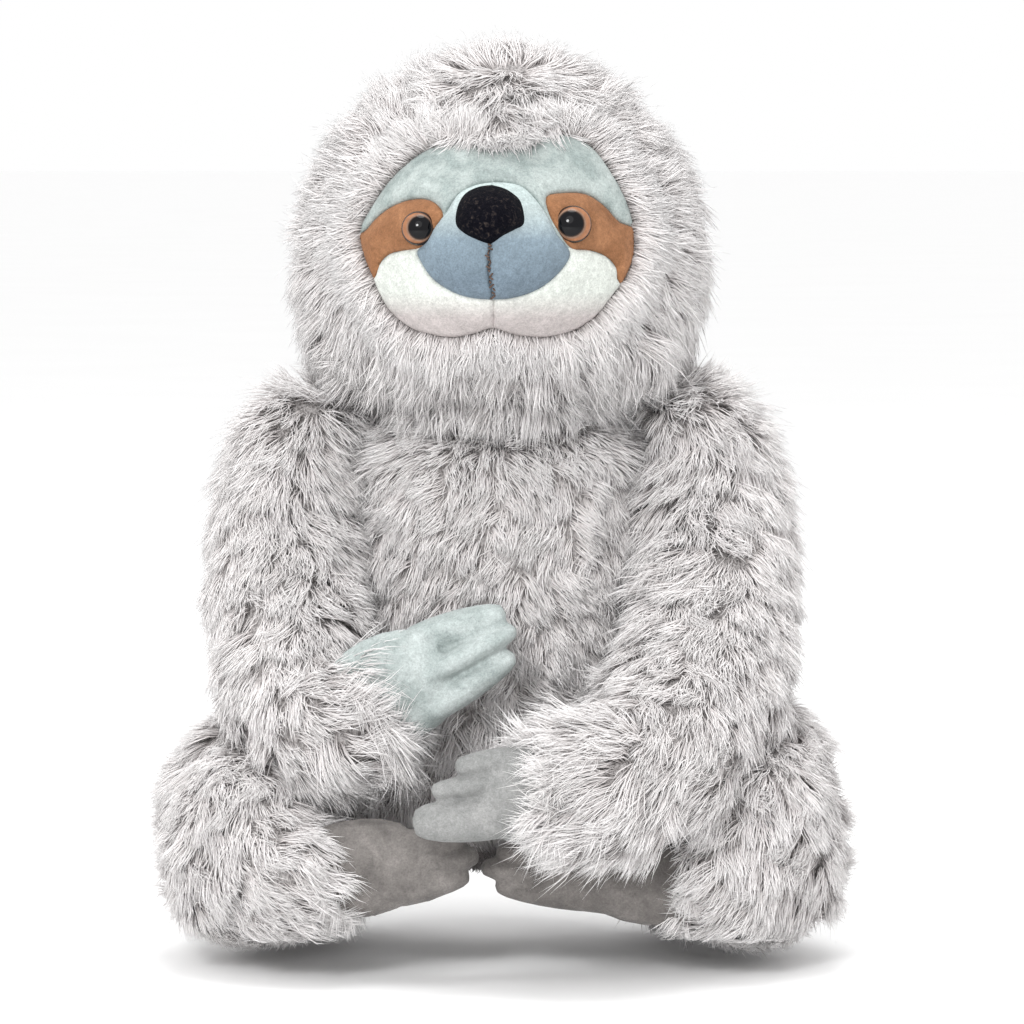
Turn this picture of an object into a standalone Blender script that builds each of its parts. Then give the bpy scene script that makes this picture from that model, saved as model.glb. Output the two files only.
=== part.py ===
"""A seated plush sloth: fur covers over stuffing, a velour face, hands and feet.

Metres, +Z up, the toy faces -Y, and z = 0 is the surface it sits on, with the origin
under the middle of the whole toy. Right and left are the toy's own. A fur cover is
modelled as the depth of cloth and pile together, so its outer surface is the outline
that the pile gives.
"""

import math

import bmesh
import bpy
import numpy as np
from mathutils import Matrix, Vector

# Clearances, and how far a cut runs past what it cuts
seam_gap = 0.0003
core_gap = 0.0004
joint_gap = 0.0006
neck_gap = 0.0008
neck_seat_gap = 0.0012
overrun = 0.005
limb_trim_size = 0.080

# Cloth
pile_depth = 0.009
velour_depth = 0.003
face_recess = 0.006
mitten_depth = 0.002

# Torso, whose underside hangs clear of the floor between the thighs, and whose middle
# lies behind the origin
torso_back = 0.0405
seat_rise = 0.026
torso_height = 0.211
torso_half_width = 0.062
belly_half_depth = 0.064
side_seam = 0.056
torso_sides = 18
torso_rings = 11
torso_core_sides = 12
torso_core_rings = 8

# Head, whose middle lies above the torso's top and whose underside is a ball that turns
# in it
head_rise = 0.051
head_forward = 0.005
head_half_width = 0.080
head_half_depth = 0.070
head_half_height = 0.086
seat_radius = 0.062
seat_angle = math.radians(44.0)
jowl_angle = math.radians(64.0)
neck_angle = math.radians(32.0)
neck_thickness = 0.0050
head_sides = 24
head_rings = 15
ring_crowding = 1.5
cup_sides = 28
cup_rings = 20
neck_steps = 20
neck_arc_steps = 4
hole_sides = 20

# Face, its heights measured from the head's middle
face_offset = -0.0025
face_half_width = 0.050
eye_lift = 0.016
eye_spacing = 0.054
muzzle_reach = 0.022
muzzle_half_width = 0.034
muzzle_half_height = 0.029
muzzle_lift = 0.007
nose_width = 0.027
nose_drop = 0.021
nose_depth = 0.022
nose_lift = 0.0215
nose_point_share = 0.42
nose_taper = 0.55
nose_sides = 16
nose_rings = 10
eye_radius = 0.0064
eye_crown = 0.0046
eye_back = 0.0008
eye_heel_share = 0.92
eye_steps = 18
eye_arc_steps = 5
seat_steps = 14
stem_radius = 0.0018
stem_length = 0.0075
washer_radius = 0.0060
washer_thickness = 0.0012

# Arms, whose shoulders lie below the torso's top
shoulder_drop = 0.026
arm_width = 0.066
arm_sides = 16
arm_rings = 12
core_sides = 10
core_rings = 9
wrist_radius = 0.0135
hand_length = 0.056
hand_width = 0.042
hand_thickness = 0.0175

# Legs
hip_height = 0.062
hip_forward = -0.005
leg_height = 0.100
leg_width = 0.064
hip_clear_radius = 0.086
lap_sides = 40
lap_swings = tuple(math.radians(angle) for angle in (5.0, 10.0, 15.0))
foot_length = 0.062
foot_width = 0.030
foot_thickness = 0.020
ankle_radius = 0.0105

# Outlines of the face as shares of its half width, from the eye line, on the left half
face_outline_shares = (
    (0.00, 0.58), (0.24, 0.64), (0.54, 0.66), (0.84, 0.44), (0.98, 0.08),
    (0.95, -0.36), (0.78, -0.62), (0.56, -0.76), (0.32, -0.80), (0.12, -0.76), (0.00, -0.72),
)
muzzle_outline_shares = (
    (0.00, 0.36), (0.20, 0.31), (0.38, 0.14), (0.52, -0.02),
    (0.57, -0.17), (0.50, -0.33), (0.28, -0.47), (0.00, -0.52),
)
cheek_outline_shares = (
    (0.00, -0.10), (0.57, -0.15), (0.78, -0.19), (0.90, -0.37),
    (1.20, -0.50), (1.20, -1.10), (0.00, -1.10),
)
patch_outline_shares = (
    (0.28, 0.02), (0.38, 0.19), (0.64, 0.28), (0.90, 0.23), (1.20, 0.12),
    (1.20, -0.56), (0.92, -0.50), (0.70, -0.34), (0.46, -0.24), (0.32, -0.12),
)

# Torso stations: height share, half width share, half depth share
torso_station_shares = (
    (0.00, 0.90, 0.86), (0.20, 1.00, 0.98), (0.42, 1.00, 1.00),
    (0.66, 0.98, 0.90), (0.85, 0.97, 0.80), (1.00, 0.94, 0.74),
)

# Limb stations: out from the side seam as a share of the limb's width, forward as a
# share of the belly's half depth, up as a share of the shoulder's or leg's height, and
# the section's two half sizes as shares of the limb's width, a leg's upright one first
right_arm_shares = (
    (0.37, -0.04, 1.170, 0.46, 0.46), (0.38, 0.05, 0.985, 0.49, 0.49),
    (0.38, 0.26, 0.790, 0.51, 0.51), (0.34, 0.66, 0.620, 0.51, 0.51),
    (0.18, 1.11, 0.500, 0.47, 0.47), (-0.03, 1.33, 0.530, 0.42, 0.42),
    (-0.30, 1.41, 0.605, 0.40, 0.40),
)
left_arm_shares = (
    (0.36, -0.04, 1.170, 0.46, 0.46), (0.37, 0.05, 0.985, 0.51, 0.51),
    (0.36, 0.28, 0.800, 0.55, 0.55), (0.32, 0.72, 0.630, 0.56, 0.56),
    (0.16, 1.35, 0.490, 0.53, 0.53), (-0.21, 1.78, 0.420, 0.52, 0.52),
    (-0.72, 1.94, 0.408, 0.52, 0.52),
)
right_leg_shares = (
    (-0.10, -0.50, 0.448, 0.70, 0.58), (0.24, -0.04, 0.393, 0.72, 0.60),
    (0.52, 0.44, 0.468, 0.76, 0.60), (0.64, 0.90, 0.478, 0.76, 0.54),
    (0.46, 1.34, 0.40, 0.52, 0.42), (0.12, 1.52, 0.40, 0.36, 0.36),
    (-0.10, 1.56, 0.41, 0.32, 0.32),
)
left_leg_shares = (
    (-0.10, -0.50, 0.448, 0.70, 0.58), (0.24, -0.04, 0.388, 0.72, 0.60),
    (0.54, 0.44, 0.492, 0.81, 0.60), (0.66, 0.90, 0.523, 0.84, 0.55),
    (0.54, 1.26, 0.40, 0.58, 0.44), (0.26, 1.40, 0.36, 0.38, 0.36),
    (0.02, 1.44, 0.36, 0.32, 0.32),
)
right_wrist_share = 0.915
left_wrist_share = 0.930
right_ankle_share = 0.900
left_ankle_share = 0.900
right_hand_rise = math.radians(22.0)
left_hand_rise = math.radians(-13.0)
right_foot_rise = math.radians(9.0)
left_foot_rise = math.radians(6.0)

# Fingers: start and end along the hand, start and end across it, half width, all as
# shares of the hand's length or width, and half thickness as a share of its thickness
finger_shares = (
    (0.20, 0.96, 0.27, 0.20, 0.19, 0.42),
    (0.20, 1.00, 0.00, 0.00, 0.18, 0.44),
    (0.20, 0.90, -0.27, -0.20, 0.19, 0.42),
)
palm_middle_share = 0.40
palm_half_length_share = 0.37
palm_half_width_share = 0.49
palm_half_thickness_share = 0.50
root_back_share = 0.75
palm_sides = 8
palm_rings = 5
finger_sides = 6
finger_rings = 5
root_sides = 10
root_rings = 7
socket_sides = 16
socket_rings = 10

blunt_torso = 0.36
blunt_limb = 0.42
square_torso = 0.80
round_section = 1.0
heading_step_share = 0.01
pole_ring = 0.001

fur_color = (0.60, 0.57, 0.56)
mint_color = (0.60, 0.74, 0.70)
brown_color = (0.45, 0.20, 0.09)
blue_color = (0.30, 0.42, 0.52)
white_color = (0.86, 0.85, 0.82)
nose_color = (0.012, 0.014, 0.022)
amber_color = (0.16, 0.07, 0.025)
stuffing_color = (0.90, 0.90, 0.88)
washer_color = (0.75, 0.76, 0.78)

# Places that follow from the sizes
head_height = torso_height + head_rise
eye_height = head_height + eye_lift
muzzle_height = head_height + muzzle_lift
nose_height = head_height + nose_lift
shoulder_height = torso_height - shoulder_drop
head_middle = Vector((0.0, torso_back - head_forward, head_height))
hip_axis = Vector((0.0, torso_back - hip_forward, hip_height))
neck_outer_radius = seat_radius + neck_gap + neck_thickness
cup_radius = neck_outer_radius + neck_seat_gap
core_depth = pile_depth + seam_gap


def clear_scene():
    for item in list(bpy.data.objects):
        bpy.data.objects.remove(item, do_unlink=True)


def collection(name):
    made = bpy.data.collections.new(name)
    bpy.context.scene.collection.children.link(made)
    return made


def material(name, color, roughness, sheen=0.0):
    made = bpy.data.materials.new(name)
    made.use_nodes = True
    shader = made.node_tree.nodes["Principled BSDF"]
    shader.inputs["Base Color"].default_value = (*color, 1.0)
    shader.inputs["Roughness"].default_value = roughness
    shader.inputs["Sheen Weight"].default_value = sheen
    return made


def face_outwards(bm):
    bmesh.ops.recalc_face_normals(bm, faces=bm.faces)
    if bm.calc_volume(signed=True) < 0.0:
        bmesh.ops.reverse_faces(bm, faces=bm.faces)


def grown(bm, amount):
    """The same shape with every face moved out by about the amount."""
    face_outwards(bm)
    bm.normal_update()
    for vert, normal in [(vert, vert.normal.copy()) for vert in bm.verts]:
        vert.co += normal * amount
    return bm


def mesh_object(name, bm, pivot, home, finish=None):
    """An object whose origin is at its pivot and whose shape stays where bm has it."""
    face_outwards(bm)
    bmesh.ops.translate(bm, verts=bm.verts, vec=-pivot)
    mesh = bpy.data.meshes.new(name)
    bm.to_mesh(mesh)
    bm.free()
    mesh.shade_smooth()
    made = bpy.data.objects.new(name, mesh)
    made.location = pivot
    home.objects.link(made)
    if finish:
        mesh.materials.append(finish)
    return made


def cutter(name, bm):
    made = mesh_object(name, bm, Vector(), cutters)
    made.hide_render = True
    made.display_type = "WIRE"
    return made


def boolean(target, operation, tool):
    step = target.modifiers.new(operation.lower(), "BOOLEAN")
    step.operation = operation
    step.object = tool
    step.solver = "EXACT"


def cut(target, *tools):
    for tool in tools:
        boolean(target, "DIFFERENCE", tool)


def keep(target, tool):
    boolean(target, "INTERSECT", tool)


def join(target, *tools):
    for tool in tools:
        boolean(target, "UNION", tool)


def swung_cutter(tool, pivot, angle):
    """A cutter's copy, turned about the line along X through the pivot."""
    made = tool.copy()
    cutters.objects.link(made)
    turn = Matrix.Rotation(angle, 4, "X")
    made.matrix_world = Matrix.Translation(pivot) @ turn @ Matrix.Translation(-pivot)
    return made


def signed_power(value, power):
    return math.copysign(abs(value) ** power, value)


def along_curve(stations, share):
    """The station a share of the way along a smooth curve through all the stations."""
    spans = len(stations) - 1
    place = min(max(share, 0.0), 1.0) * spans
    first = min(int(place), spans - 1)
    part = place - first
    before = stations[max(first - 1, 0)]
    start = stations[first]
    end = stations[first + 1]
    after = stations[min(first + 2, spans)]
    return 0.5 * (
        2.0 * start
        + (end - before) * part
        + (2.0 * before - 5.0 * start + 4.0 * end - after) * part**2
        + (3.0 * start - before - 3.0 * end + after) * part**3
    )


def frame_at(stations, share, reference):
    """Middle, section half sizes and the section's two directions at a share."""
    station = along_curve(stations, share)
    before = along_curve(stations, share - heading_step_share)
    after = along_curve(stations, share + heading_step_share)
    heading = Vector(after[:3] - before[:3]).normalized()
    first = (reference - heading * reference.dot(heading)).normalized()
    return Vector(station[:3]), station[3], station[4], first, heading.cross(first)


def split_faces(bm):
    """Triangles in a fixed pattern, so that forms nested in each other match."""
    bmesh.ops.triangulate(bm, faces=bm.faces, quad_method="FIXED")
    return bm


def stuffed_form(stations, reference, inset, blunt, square, sides, rings):
    """A ball drawn out along the stations, so that it swells, tapers and bends."""
    bm = bmesh.new()
    bmesh.ops.create_uvsphere(bm, u_segments=sides, v_segments=rings, radius=1.0)
    steps = [along_curve(stations, i / rings)[:3] for i in range(rings + 1)]
    length = sum(np.linalg.norm(b - a) for a, b in zip(steps, steps[1:]))
    trim = inset / length
    for vert in bm.verts:
        level = max(-1.0, min(1.0, vert.co.z))
        ring = math.sqrt(1.0 - level * level)
        share = trim + (1.0 - 2.0 * trim) * (1.0 - level) / 2.0
        middle, half_a, half_b, first, second = frame_at(stations, share, reference)
        if ring < pole_ring:
            vert.co = middle
            continue
        swell = ring**blunt
        along_first = signed_power(vert.co.x / ring, square) * (half_a - inset) * swell
        along_second = signed_power(vert.co.y / ring, square) * (half_b - inset) * swell
        vert.co = middle + first * along_first + second * along_second
    return split_faces(bm)


def torso_form(inset, sides=torso_sides, rings=torso_rings):
    stations = [
        np.array((
            0.0, torso_back, seat_rise + (torso_height - seat_rise) * up,
            torso_half_width * wide, belly_half_depth * deep,
        ))
        for up, wide, deep in torso_station_shares
    ]
    return stuffed_form(
        stations, Vector((1.0, 0.0, 0.0)), inset, blunt_torso, square_torso, sides, rings
    )


def limb_stations(shares, side, width, height):
    return [
        np.array((
            side * (side_seam + out * width), torso_back - ahead * belly_half_depth,
            up * height, half_a * width, half_b * width,
        ))
        for out, ahead, up, half_a, half_b in shares
    ]


def limb_form(stations, reference, inset):
    return stuffed_form(
        stations, reference, inset, blunt_limb, round_section, arm_sides, arm_rings
    )


def limb_core_form(stations, reference):
    return stuffed_form(
        stations, reference, core_depth, blunt_limb, round_section, core_sides, core_rings
    )


def head_reach(direction):
    """How far the fur's outline lies from the head's middle in a direction."""
    oval = 1.0 / math.sqrt(
        (direction.x / head_half_width) ** 2
        + (direction.y / head_half_depth) ** 2
        + (direction.z / head_half_height) ** 2
    )
    tilt = math.acos(max(-1.0, min(1.0, -direction.z)))
    share = min(max((tilt - seat_angle) / (jowl_angle - seat_angle), 0.0), 1.0)
    share = share * share * (3.0 - 2.0 * share)
    reach = seat_radius + (oval - seat_radius) * share
    if direction.y < 0.0:
        spot = head_middle + direction * oval
        across = (spot.x - face_offset) / muzzle_half_width
        above = (spot.z - muzzle_height) / muzzle_half_height
        reach += muzzle_reach * math.exp(-(across**2) - above**2)
    return reach


def head_form(inset):
    """The head as a ball whose rings crowd towards the muzzle."""
    bm = bmesh.new()
    bmesh.ops.create_uvsphere(bm, u_segments=head_sides, v_segments=head_rings, radius=1.0)
    for vert in bm.verts:
        turn = math.acos(max(-1.0, min(1.0, vert.co.z))) / math.pi
        turn = math.pi * turn**ring_crowding
        around = math.atan2(vert.co.y, vert.co.x)
        direction = Vector((
            math.sin(turn) * math.cos(around), -math.cos(turn), math.sin(turn) * math.sin(around),
        ))
        vert.co = head_middle + direction * (head_reach(direction) - inset)
    return split_faces(bm)


def face_point(x, z, inset):
    """The point of the head's surface, at an inset, that is seen at x and z from ahead."""
    spot = Vector((x, head_middle.y - head_half_depth, z))
    flat = math.hypot(x - head_middle.x, z - head_middle.z)
    for _ in range(30):
        reach = head_reach((spot - head_middle).normalized()) - inset
        spot.y = head_middle.y - math.sqrt(max(reach**2 - flat**2, 0.0))
    return spot


def face_normal(x, z, inset):
    step = eye_radius / 2.0
    across = face_point(x + step, z, inset) - face_point(x - step, z, inset)
    upward = face_point(x, z + step, inset) - face_point(x, z - step, inset)
    return across.cross(upward).normalized()


def smooth_outline(points, per_span=2):
    closed = [np.array(point) for point in points]
    count = len(closed)
    result = []
    for i in range(count):
        four = [closed[(i + k - 1) % count] for k in range(4)]
        for j in range(per_span):
            result.append(along_curve(four, (1.0 + j / per_span) / 3.0))
    return result


def grown_outline(points, amount):
    """The outline moved outwards by an amount."""
    count = len(points)
    area = sum(
        points[i][0] * points[(i + 1) % count][1] - points[(i + 1) % count][0] * points[i][1]
        for i in range(count)
    )
    way = math.copysign(1.0, area)
    grown = []
    for i in range(count):
        tangent = points[(i + 1) % count] - points[i - 1]
        tangent = tangent / np.linalg.norm(tangent)
        grown.append(points[i] + way * amount * np.array((tangent[1], -tangent[0])))
    return grown


def face_prism(name, outline, amount):
    """An outline seen from ahead, run straight back through the front of the head."""
    bm = bmesh.new()
    depth = head_half_depth + muzzle_reach + nose_depth
    front = head_middle.y - depth
    verts = [bm.verts.new((x, front, z)) for x, z in grown_outline(outline, amount)]
    face = bm.faces.new(verts)
    moved = bmesh.ops.extrude_face_region(bm, geom=[face])["geom"]
    ends = [item for item in moved if isinstance(item, bmesh.types.BMVert)]
    bmesh.ops.translate(bm, verts=ends, vec=Vector((0.0, depth, 0.0)))
    return cutter(name, bm)


def face_outline(shares, sides):
    """Shares of the half width as an outline, on one side or, given both, closed."""
    def place(point, side):
        return (
            face_offset + side * point[0] * face_half_width,
            eye_height + point[1] * face_half_width,
        )
    if len(sides) == 2:
        inner = [point for point in reversed(shares) if 0.0 < point[0]]
        return smooth_outline([place(p, 1.0) for p in shares] + [place(p, -1.0) for p in inner])
    return smooth_outline([place(p, sides[0]) for p in shares])


def ball(middle, radius, sides, rings):
    bm = bmesh.new()
    bmesh.ops.create_uvsphere(bm, u_segments=sides, v_segments=rings, radius=radius)
    bmesh.ops.translate(bm, verts=bm.verts, vec=middle)
    return bm


def block(low, high):
    bm = bmesh.new()
    bmesh.ops.create_cube(bm, size=1.0)
    bmesh.ops.scale(bm, verts=bm.verts, vec=high - low)
    bmesh.ops.translate(bm, verts=bm.verts, vec=(low + high) / 2.0)
    return bm


def rod(start, end, radius, sides):
    bm = bmesh.new()
    way = end - start
    bmesh.ops.create_cone(
        bm, cap_ends=True, segments=sides, radius1=radius, radius2=radius, depth=way.length
    )
    turn = way.to_track_quat("Z", "Y").to_matrix().to_4x4()
    bmesh.ops.transform(bm, verts=bm.verts, matrix=Matrix.Translation((start + end) / 2.0) @ turn)
    return bm


def turned(name, profile, spot, steps, finish, home, axis=Vector((0.0, 0.0, 1.0))):
    """A profile of (radius, height) points turned about its own axis."""
    mesh = bpy.data.meshes.new(name)
    mesh.from_pydata([(r, 0.0, h) for r, h in profile], [
        (i, i + 1) for i in range(len(profile) - 1)
    ], [])
    made = bpy.data.objects.new(name, mesh)
    home.objects.link(made)
    made.location = spot
    made.rotation_mode = "QUATERNION"
    made.rotation_quaternion = axis.to_track_quat("Z", "Y")
    if finish:
        mesh.materials.append(finish)
    else:
        made.hide_render = True
        made.display_type = "WIRE"
    screw = made.modifiers.new("turn", "SCREW")
    screw.steps = steps
    screw.render_steps = steps
    screw.use_merge_vertices = True
    screw.merge_threshold = 0.00001
    screw.use_smooth_shade = True
    return made


def make_torso():
    far = Vector((torso_half_width, belly_half_depth, torso_height)) * 2.0
    cup = cutter("cut_neck_cup", ball(head_middle, cup_radius, cup_sides, cup_rings))
    sides = [
        cutter("cut_side_right", block(-far, Vector((-side_seam, far.y, far.z)))),
        cutter("cut_side_left", block(Vector((side_seam, -far.y, -far.z)), far)),
    ]
    cover = mesh_object("torso_cover", torso_form(0.0), Vector(), body, fur)
    core_counts = (torso_core_sides, torso_core_rings)
    hollow = cutter("cut_torso_hollow", grown(torso_form(core_depth, *core_counts), core_gap))
    core = mesh_object(
        "torso_stuffing", torso_form(core_depth, *core_counts), Vector(), body, stuffing
    )
    cut(cover, hollow, cup, *sides)
    cut(core, cup)


def make_neck():
    """A lens of stuffing that fills the neck, round on both faces about the head's middle."""
    angles = [neck_angle * i / neck_arc_steps for i in range(neck_arc_steps + 1)]
    profile = []
    for radius, order in ((seat_radius + neck_gap, angles), (neck_outer_radius, angles[::-1])):
        profile += [(radius * math.sin(angle), -radius * math.cos(angle)) for angle in order]
    turned("neck_stuffing", profile, head_middle, neck_steps, stuffing, body)


def make_head():
    neck_hole = seat_radius * math.sin(neck_angle)
    below = head_middle - Vector((0.0, 0.0, 2.0 * seat_radius))
    opening = face_prism("cut_face_opening", face_outline(face_outline_shares, (1, -1)), seam_gap)
    hollow = cutter("cut_head_hollow", head_form(pile_depth))
    hole = cutter("cut_neck_hole", rod(below, head_middle, neck_hole, hole_sides))
    cover = mesh_object("head_cover", head_form(0.0), head_middle, body, fur)
    cut(cover, hollow, opening, hole)

    plug = cutter("join_neck_plug", head_form(seam_gap))
    keep(plug, cutter(
        "keep_neck_plug", rod(below, head_middle, neck_hole - seam_gap, hole_sides)
    ))
    core = mesh_object("head_stuffing", head_form(core_depth), head_middle, body, stuffing)
    join(core, plug)
    return core


def make_panel(name, keep_prisms, cut_prisms, finish):
    panel = mesh_object(name, head_form(face_recess), head_middle, body, finish)
    for prism in keep_prisms:
        keep(panel, prism)
    cut(panel, face_back, *cut_prisms)
    return panel


def make_face():
    full = face_outline(face_outline_shares, (1, -1))
    muzzle = face_outline(muzzle_outline_shares, (1, -1))
    whole = face_prism("keep_face", full, 0.0)
    around_muzzle = face_prism("cut_around_muzzle", muzzle, seam_gap)
    around = [around_muzzle]
    panels = {}
    for side, word in ((-1.0, "right"), (1.0, "left")):
        edge = face_offset + side * seam_gap / 2.0
        far = edge + side * 2.0 * head_half_width
        half = cutter(f"keep_{word}_half", block(
            Vector((min(edge, far), head_middle.y - 2.0 * head_half_depth, 0.0)),
            Vector((max(edge, far), head_middle.y, 2.0 * head_height)),
        ))
        cheek_line = face_outline(cheek_outline_shares, (side,))
        patch_line = face_outline(patch_outline_shares, (side,))
        around_cheek = face_prism(f"cut_around_cheek_{word}", cheek_line, seam_gap)
        around_patch = face_prism(f"cut_around_patch_{word}", patch_line, seam_gap)
        cheek_prism = face_prism(f"keep_cheek_{word}", cheek_line, 0.0)
        patch_prism = face_prism(f"keep_patch_{word}", patch_line, 0.0)
        muzzle_prism = face_prism(f"keep_muzzle_{word}", muzzle, 0.0)
        panels[f"muzzle_{word}"] = make_panel(f"muzzle_{word}", [muzzle_prism, half], [], blue)
        make_panel(f"cheek_{word}", [cheek_prism, whole, half], [around_muzzle], white)
        panels[f"eye_patch_{word}"] = make_panel(
            f"eye_patch_{word}", [patch_prism, whole], [around_muzzle, around_cheek], brown
        )
        around += [around_cheek, around_patch]
    make_panel("forehead_panel", [whole], around, mint)
    return panels


def make_nose():
    bm = bmesh.new()
    bmesh.ops.create_uvsphere(bm, u_segments=nose_sides, v_segments=nose_rings, radius=1.0)
    spot = face_point(face_offset, nose_height, face_recess)
    for vert in bm.verts:
        up_share = (1.0 + vert.co.z) / 2.0
        narrow = nose_point_share + (1.0 - nose_point_share) * up_share**nose_taper
        vert.co = spot + Vector((
            vert.co.x * narrow * nose_width / 2.0,
            vert.co.y * nose_depth / 2.0,
            vert.co.z * nose_drop / 2.0,
        ))
    nose = mesh_object("nose", bm, head_middle, body, black)
    cut(nose, cutter("cut_nose_seat", head_form(face_recess - seam_gap)))


def make_eye(word, side, panels, core):
    x = face_offset + side * eye_spacing / 2.0
    outward = face_normal(x, eye_height, face_recess)
    seat = face_point(x, eye_height, face_recess) - outward * eye_back
    angles = [math.pi / 2.0 * i / eye_arc_steps for i in range(eye_arc_steps + 1)]
    crown = [(eye_radius * math.sin(angle), eye_crown * math.cos(angle)) for angle in angles]
    profile = crown + [
        (eye_radius * eye_heel_share, -seam_gap), (stem_radius, -seam_gap),
        (stem_radius, -stem_length), (0.0, -stem_length),
    ]
    turned(f"eye_{word}", profile, seat, eye_steps, amber, body, outward)

    dip_radius = eye_radius + seam_gap
    bore_radius = stem_radius + seam_gap
    counterbore = [
        (0.0, eye_radius), (dip_radius, eye_radius), (dip_radius, -2.0 * seam_gap),
        (bore_radius, -2.0 * seam_gap), (bore_radius, -stem_length - overrun),
        (0.0, -stem_length - overrun),
    ]
    dip = turned(f"cut_eye_seat_{word}", counterbore, seat, seat_steps, None, cutters, outward)
    behind = velour_depth + pile_depth - face_recess
    washer_top = -(velour_depth + seam_gap - eye_back) - seam_gap
    washer = [
        (stem_radius + seam_gap, washer_top), (washer_radius, washer_top),
        (washer_radius, washer_top - washer_thickness),
        (stem_radius + seam_gap, washer_top - washer_thickness),
        (stem_radius + seam_gap, washer_top),
    ]
    turned(f"eye_washer_{word}", washer, seat, seat_steps, plastic, body, outward)
    under = cutter(f"cut_washer_seat_{word}", rod(
        seat - outward * (stem_length + overrun), seat + outward * (washer_top + seam_gap),
        washer_radius + seam_gap, seat_steps,
    ))
    for panel in panels:
        cut(panel, dip, under)
    pocket = cutter(f"cut_eye_pocket_{word}", rod(
        seat - outward * (stem_length + 2.0 * seam_gap), seat + outward * behind,
        washer_radius + 2.0 * seam_gap, seat_steps,
    ))
    cut(core, pocket)


def hand_form(name, wrist, way, across, inset, length, width, thickness, root_radius):
    """A mitten with three long fingers: a round root, a palm and the fingers, joined."""
    through = way.cross(across)

    def lobe(label, counts, start, end, half_width, half_thickness):
        """An oval pad from start to end, each given as shares along and across."""
        bm = bmesh.new()
        bmesh.ops.create_uvsphere(bm, u_segments=counts[0], v_segments=counts[1], radius=1.0)
        first = wrist + way * start[0] * length + across * start[1] * width
        last = wrist + way * end[0] * length + across * end[1] * width
        heading = (last - first).normalized()
        sideways = through.cross(heading)
        long = (last - first).length / 2.0 - inset
        for vert in bm.verts:
            ring = math.sqrt(max(0.0, 1.0 - vert.co.z**2))
            swell = ring ** (blunt_limb - 1.0) if ring > pole_ring else 0.0
            vert.co = (
                (first + last) / 2.0 + heading * vert.co.z * long
                + sideways * vert.co.x * swell * (half_width * width - inset)
                + through * vert.co.y * swell * (half_thickness * thickness - inset)
            )
        return cutter(f"{name}_{label}", bm)

    root = ball(wrist, root_radius - inset, root_sides, root_rings)
    lobes = [lobe(
        "palm", (palm_sides, palm_rings),
        (palm_middle_share - palm_half_length_share, 0.0),
        (palm_middle_share + palm_half_length_share, 0.0),
        palm_half_width_share, palm_half_thickness_share,
    )]
    for i, (start, end, low, high, half, thick) in enumerate(finger_shares):
        counts = (finger_sides, finger_rings)
        lobes.append(lobe(f"finger_{i}", counts, (start, low), (end, high), half, thick))
    return root, lobes


def behind_wrist(name, wrist, way, distance):
    """Everything further back than a distance behind the wrist."""
    bm = bmesh.new()
    bmesh.ops.create_cube(bm, size=limb_trim_size)
    turn = way.to_track_quat("Z", "Y").to_matrix().to_4x4()
    middle = wrist - way * (distance + limb_trim_size / 2.0)
    bmesh.ops.transform(bm, verts=bm.verts, matrix=Matrix.Translation(middle) @ turn)
    return cutter(name, bm)


def make_mitten(kind, word, wrist, way, across, length, width, thickness, root_radius):
    name = f"{kind}_{word}"
    sizes = (length, width, thickness, root_radius)
    root, lobes = hand_form(f"join_{name}", wrist, way, across, 0.0, *sizes)
    cover = mesh_object(f"{kind}_cover_{word}", root, wrist, body, mint)
    join(cover, *lobes)

    root, lobes = hand_form(f"hollow_{name}", wrist, way, across, mitten_depth, *sizes)
    hollow = cutter(f"hollow_{name}", root)
    join(hollow, *lobes)
    trim = behind_wrist(f"cut_{name}_root", wrist, way, root_back_share * root_radius)
    cut(cover, hollow, trim)

    core_inset = mitten_depth + seam_gap
    root, lobes = hand_form(f"core_{name}", wrist, way, across, core_inset, *sizes)
    core = mesh_object(f"{kind}_stuffing_{word}", root, wrist, body, stuffing)
    join(core, *lobes)
    cut(core, trim)


def make_limb(kind, word, stations, reference, pivot, end, way, root_radius, clearances):
    """A fur sleeve and its stuffing, cut where they meet the torso and the mitten."""
    cover = mesh_object(
        f"{kind}_cover_{word}", limb_form(stations, reference, 0.0), pivot, body, fur
    )
    hollow = cutter(
        f"cut_{kind}_hollow_{word}", grown(limb_core_form(stations, reference), core_gap)
    )
    core = mesh_object(
        f"{kind}_stuffing_{word}", limb_core_form(stations, reference), pivot, body, stuffing
    )
    beyond = behind_wrist(f"cut_{kind}_end_{word}", end, -way, 0.0)
    cup_size = root_radius + joint_gap
    cup = cutter(f"cut_{kind}_cup_{word}", ball(end, cup_size, socket_sides, socket_rings))
    cut(cover, hollow, *clearances, beyond, cup)
    cut(core, *clearances, beyond, cup)
    return cover


def make_arm(word, side, shares, wrist_share, rise):
    reference = Vector((side, 0.0, 1.0)).normalized()
    stations = limb_stations(shares, side, arm_width, shoulder_height)
    wrist = Vector(along_curve(stations, wrist_share)[:3])
    way = Vector((-side * math.cos(rise), 0.0, math.sin(rise)))
    across = Vector((side * math.sin(rise), 0.0, math.cos(rise)))
    front = torso_back - belly_half_depth - 2.0 * joint_gap
    low = Vector((-side_seam - joint_gap, front, -overrun))
    high = Vector((side_seam + joint_gap, front + 4.0 * belly_half_depth, 2.0 * torso_height))
    chest = cutter(f"cut_chest_{word}", block(low, high))
    pivot = Vector((side * side_seam, torso_back, shoulder_height))
    make_limb(
        "arm", word, stations, reference, pivot, wrist, way, wrist_radius, [chest]
    )
    make_mitten(
        "hand", word, wrist, way, across, hand_length, hand_width, hand_thickness, wrist_radius
    )
    return cutter(
        f"cut_arm_clearance_{word}", grown(limb_form(stations, reference, 0.0), joint_gap)
    )


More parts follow.
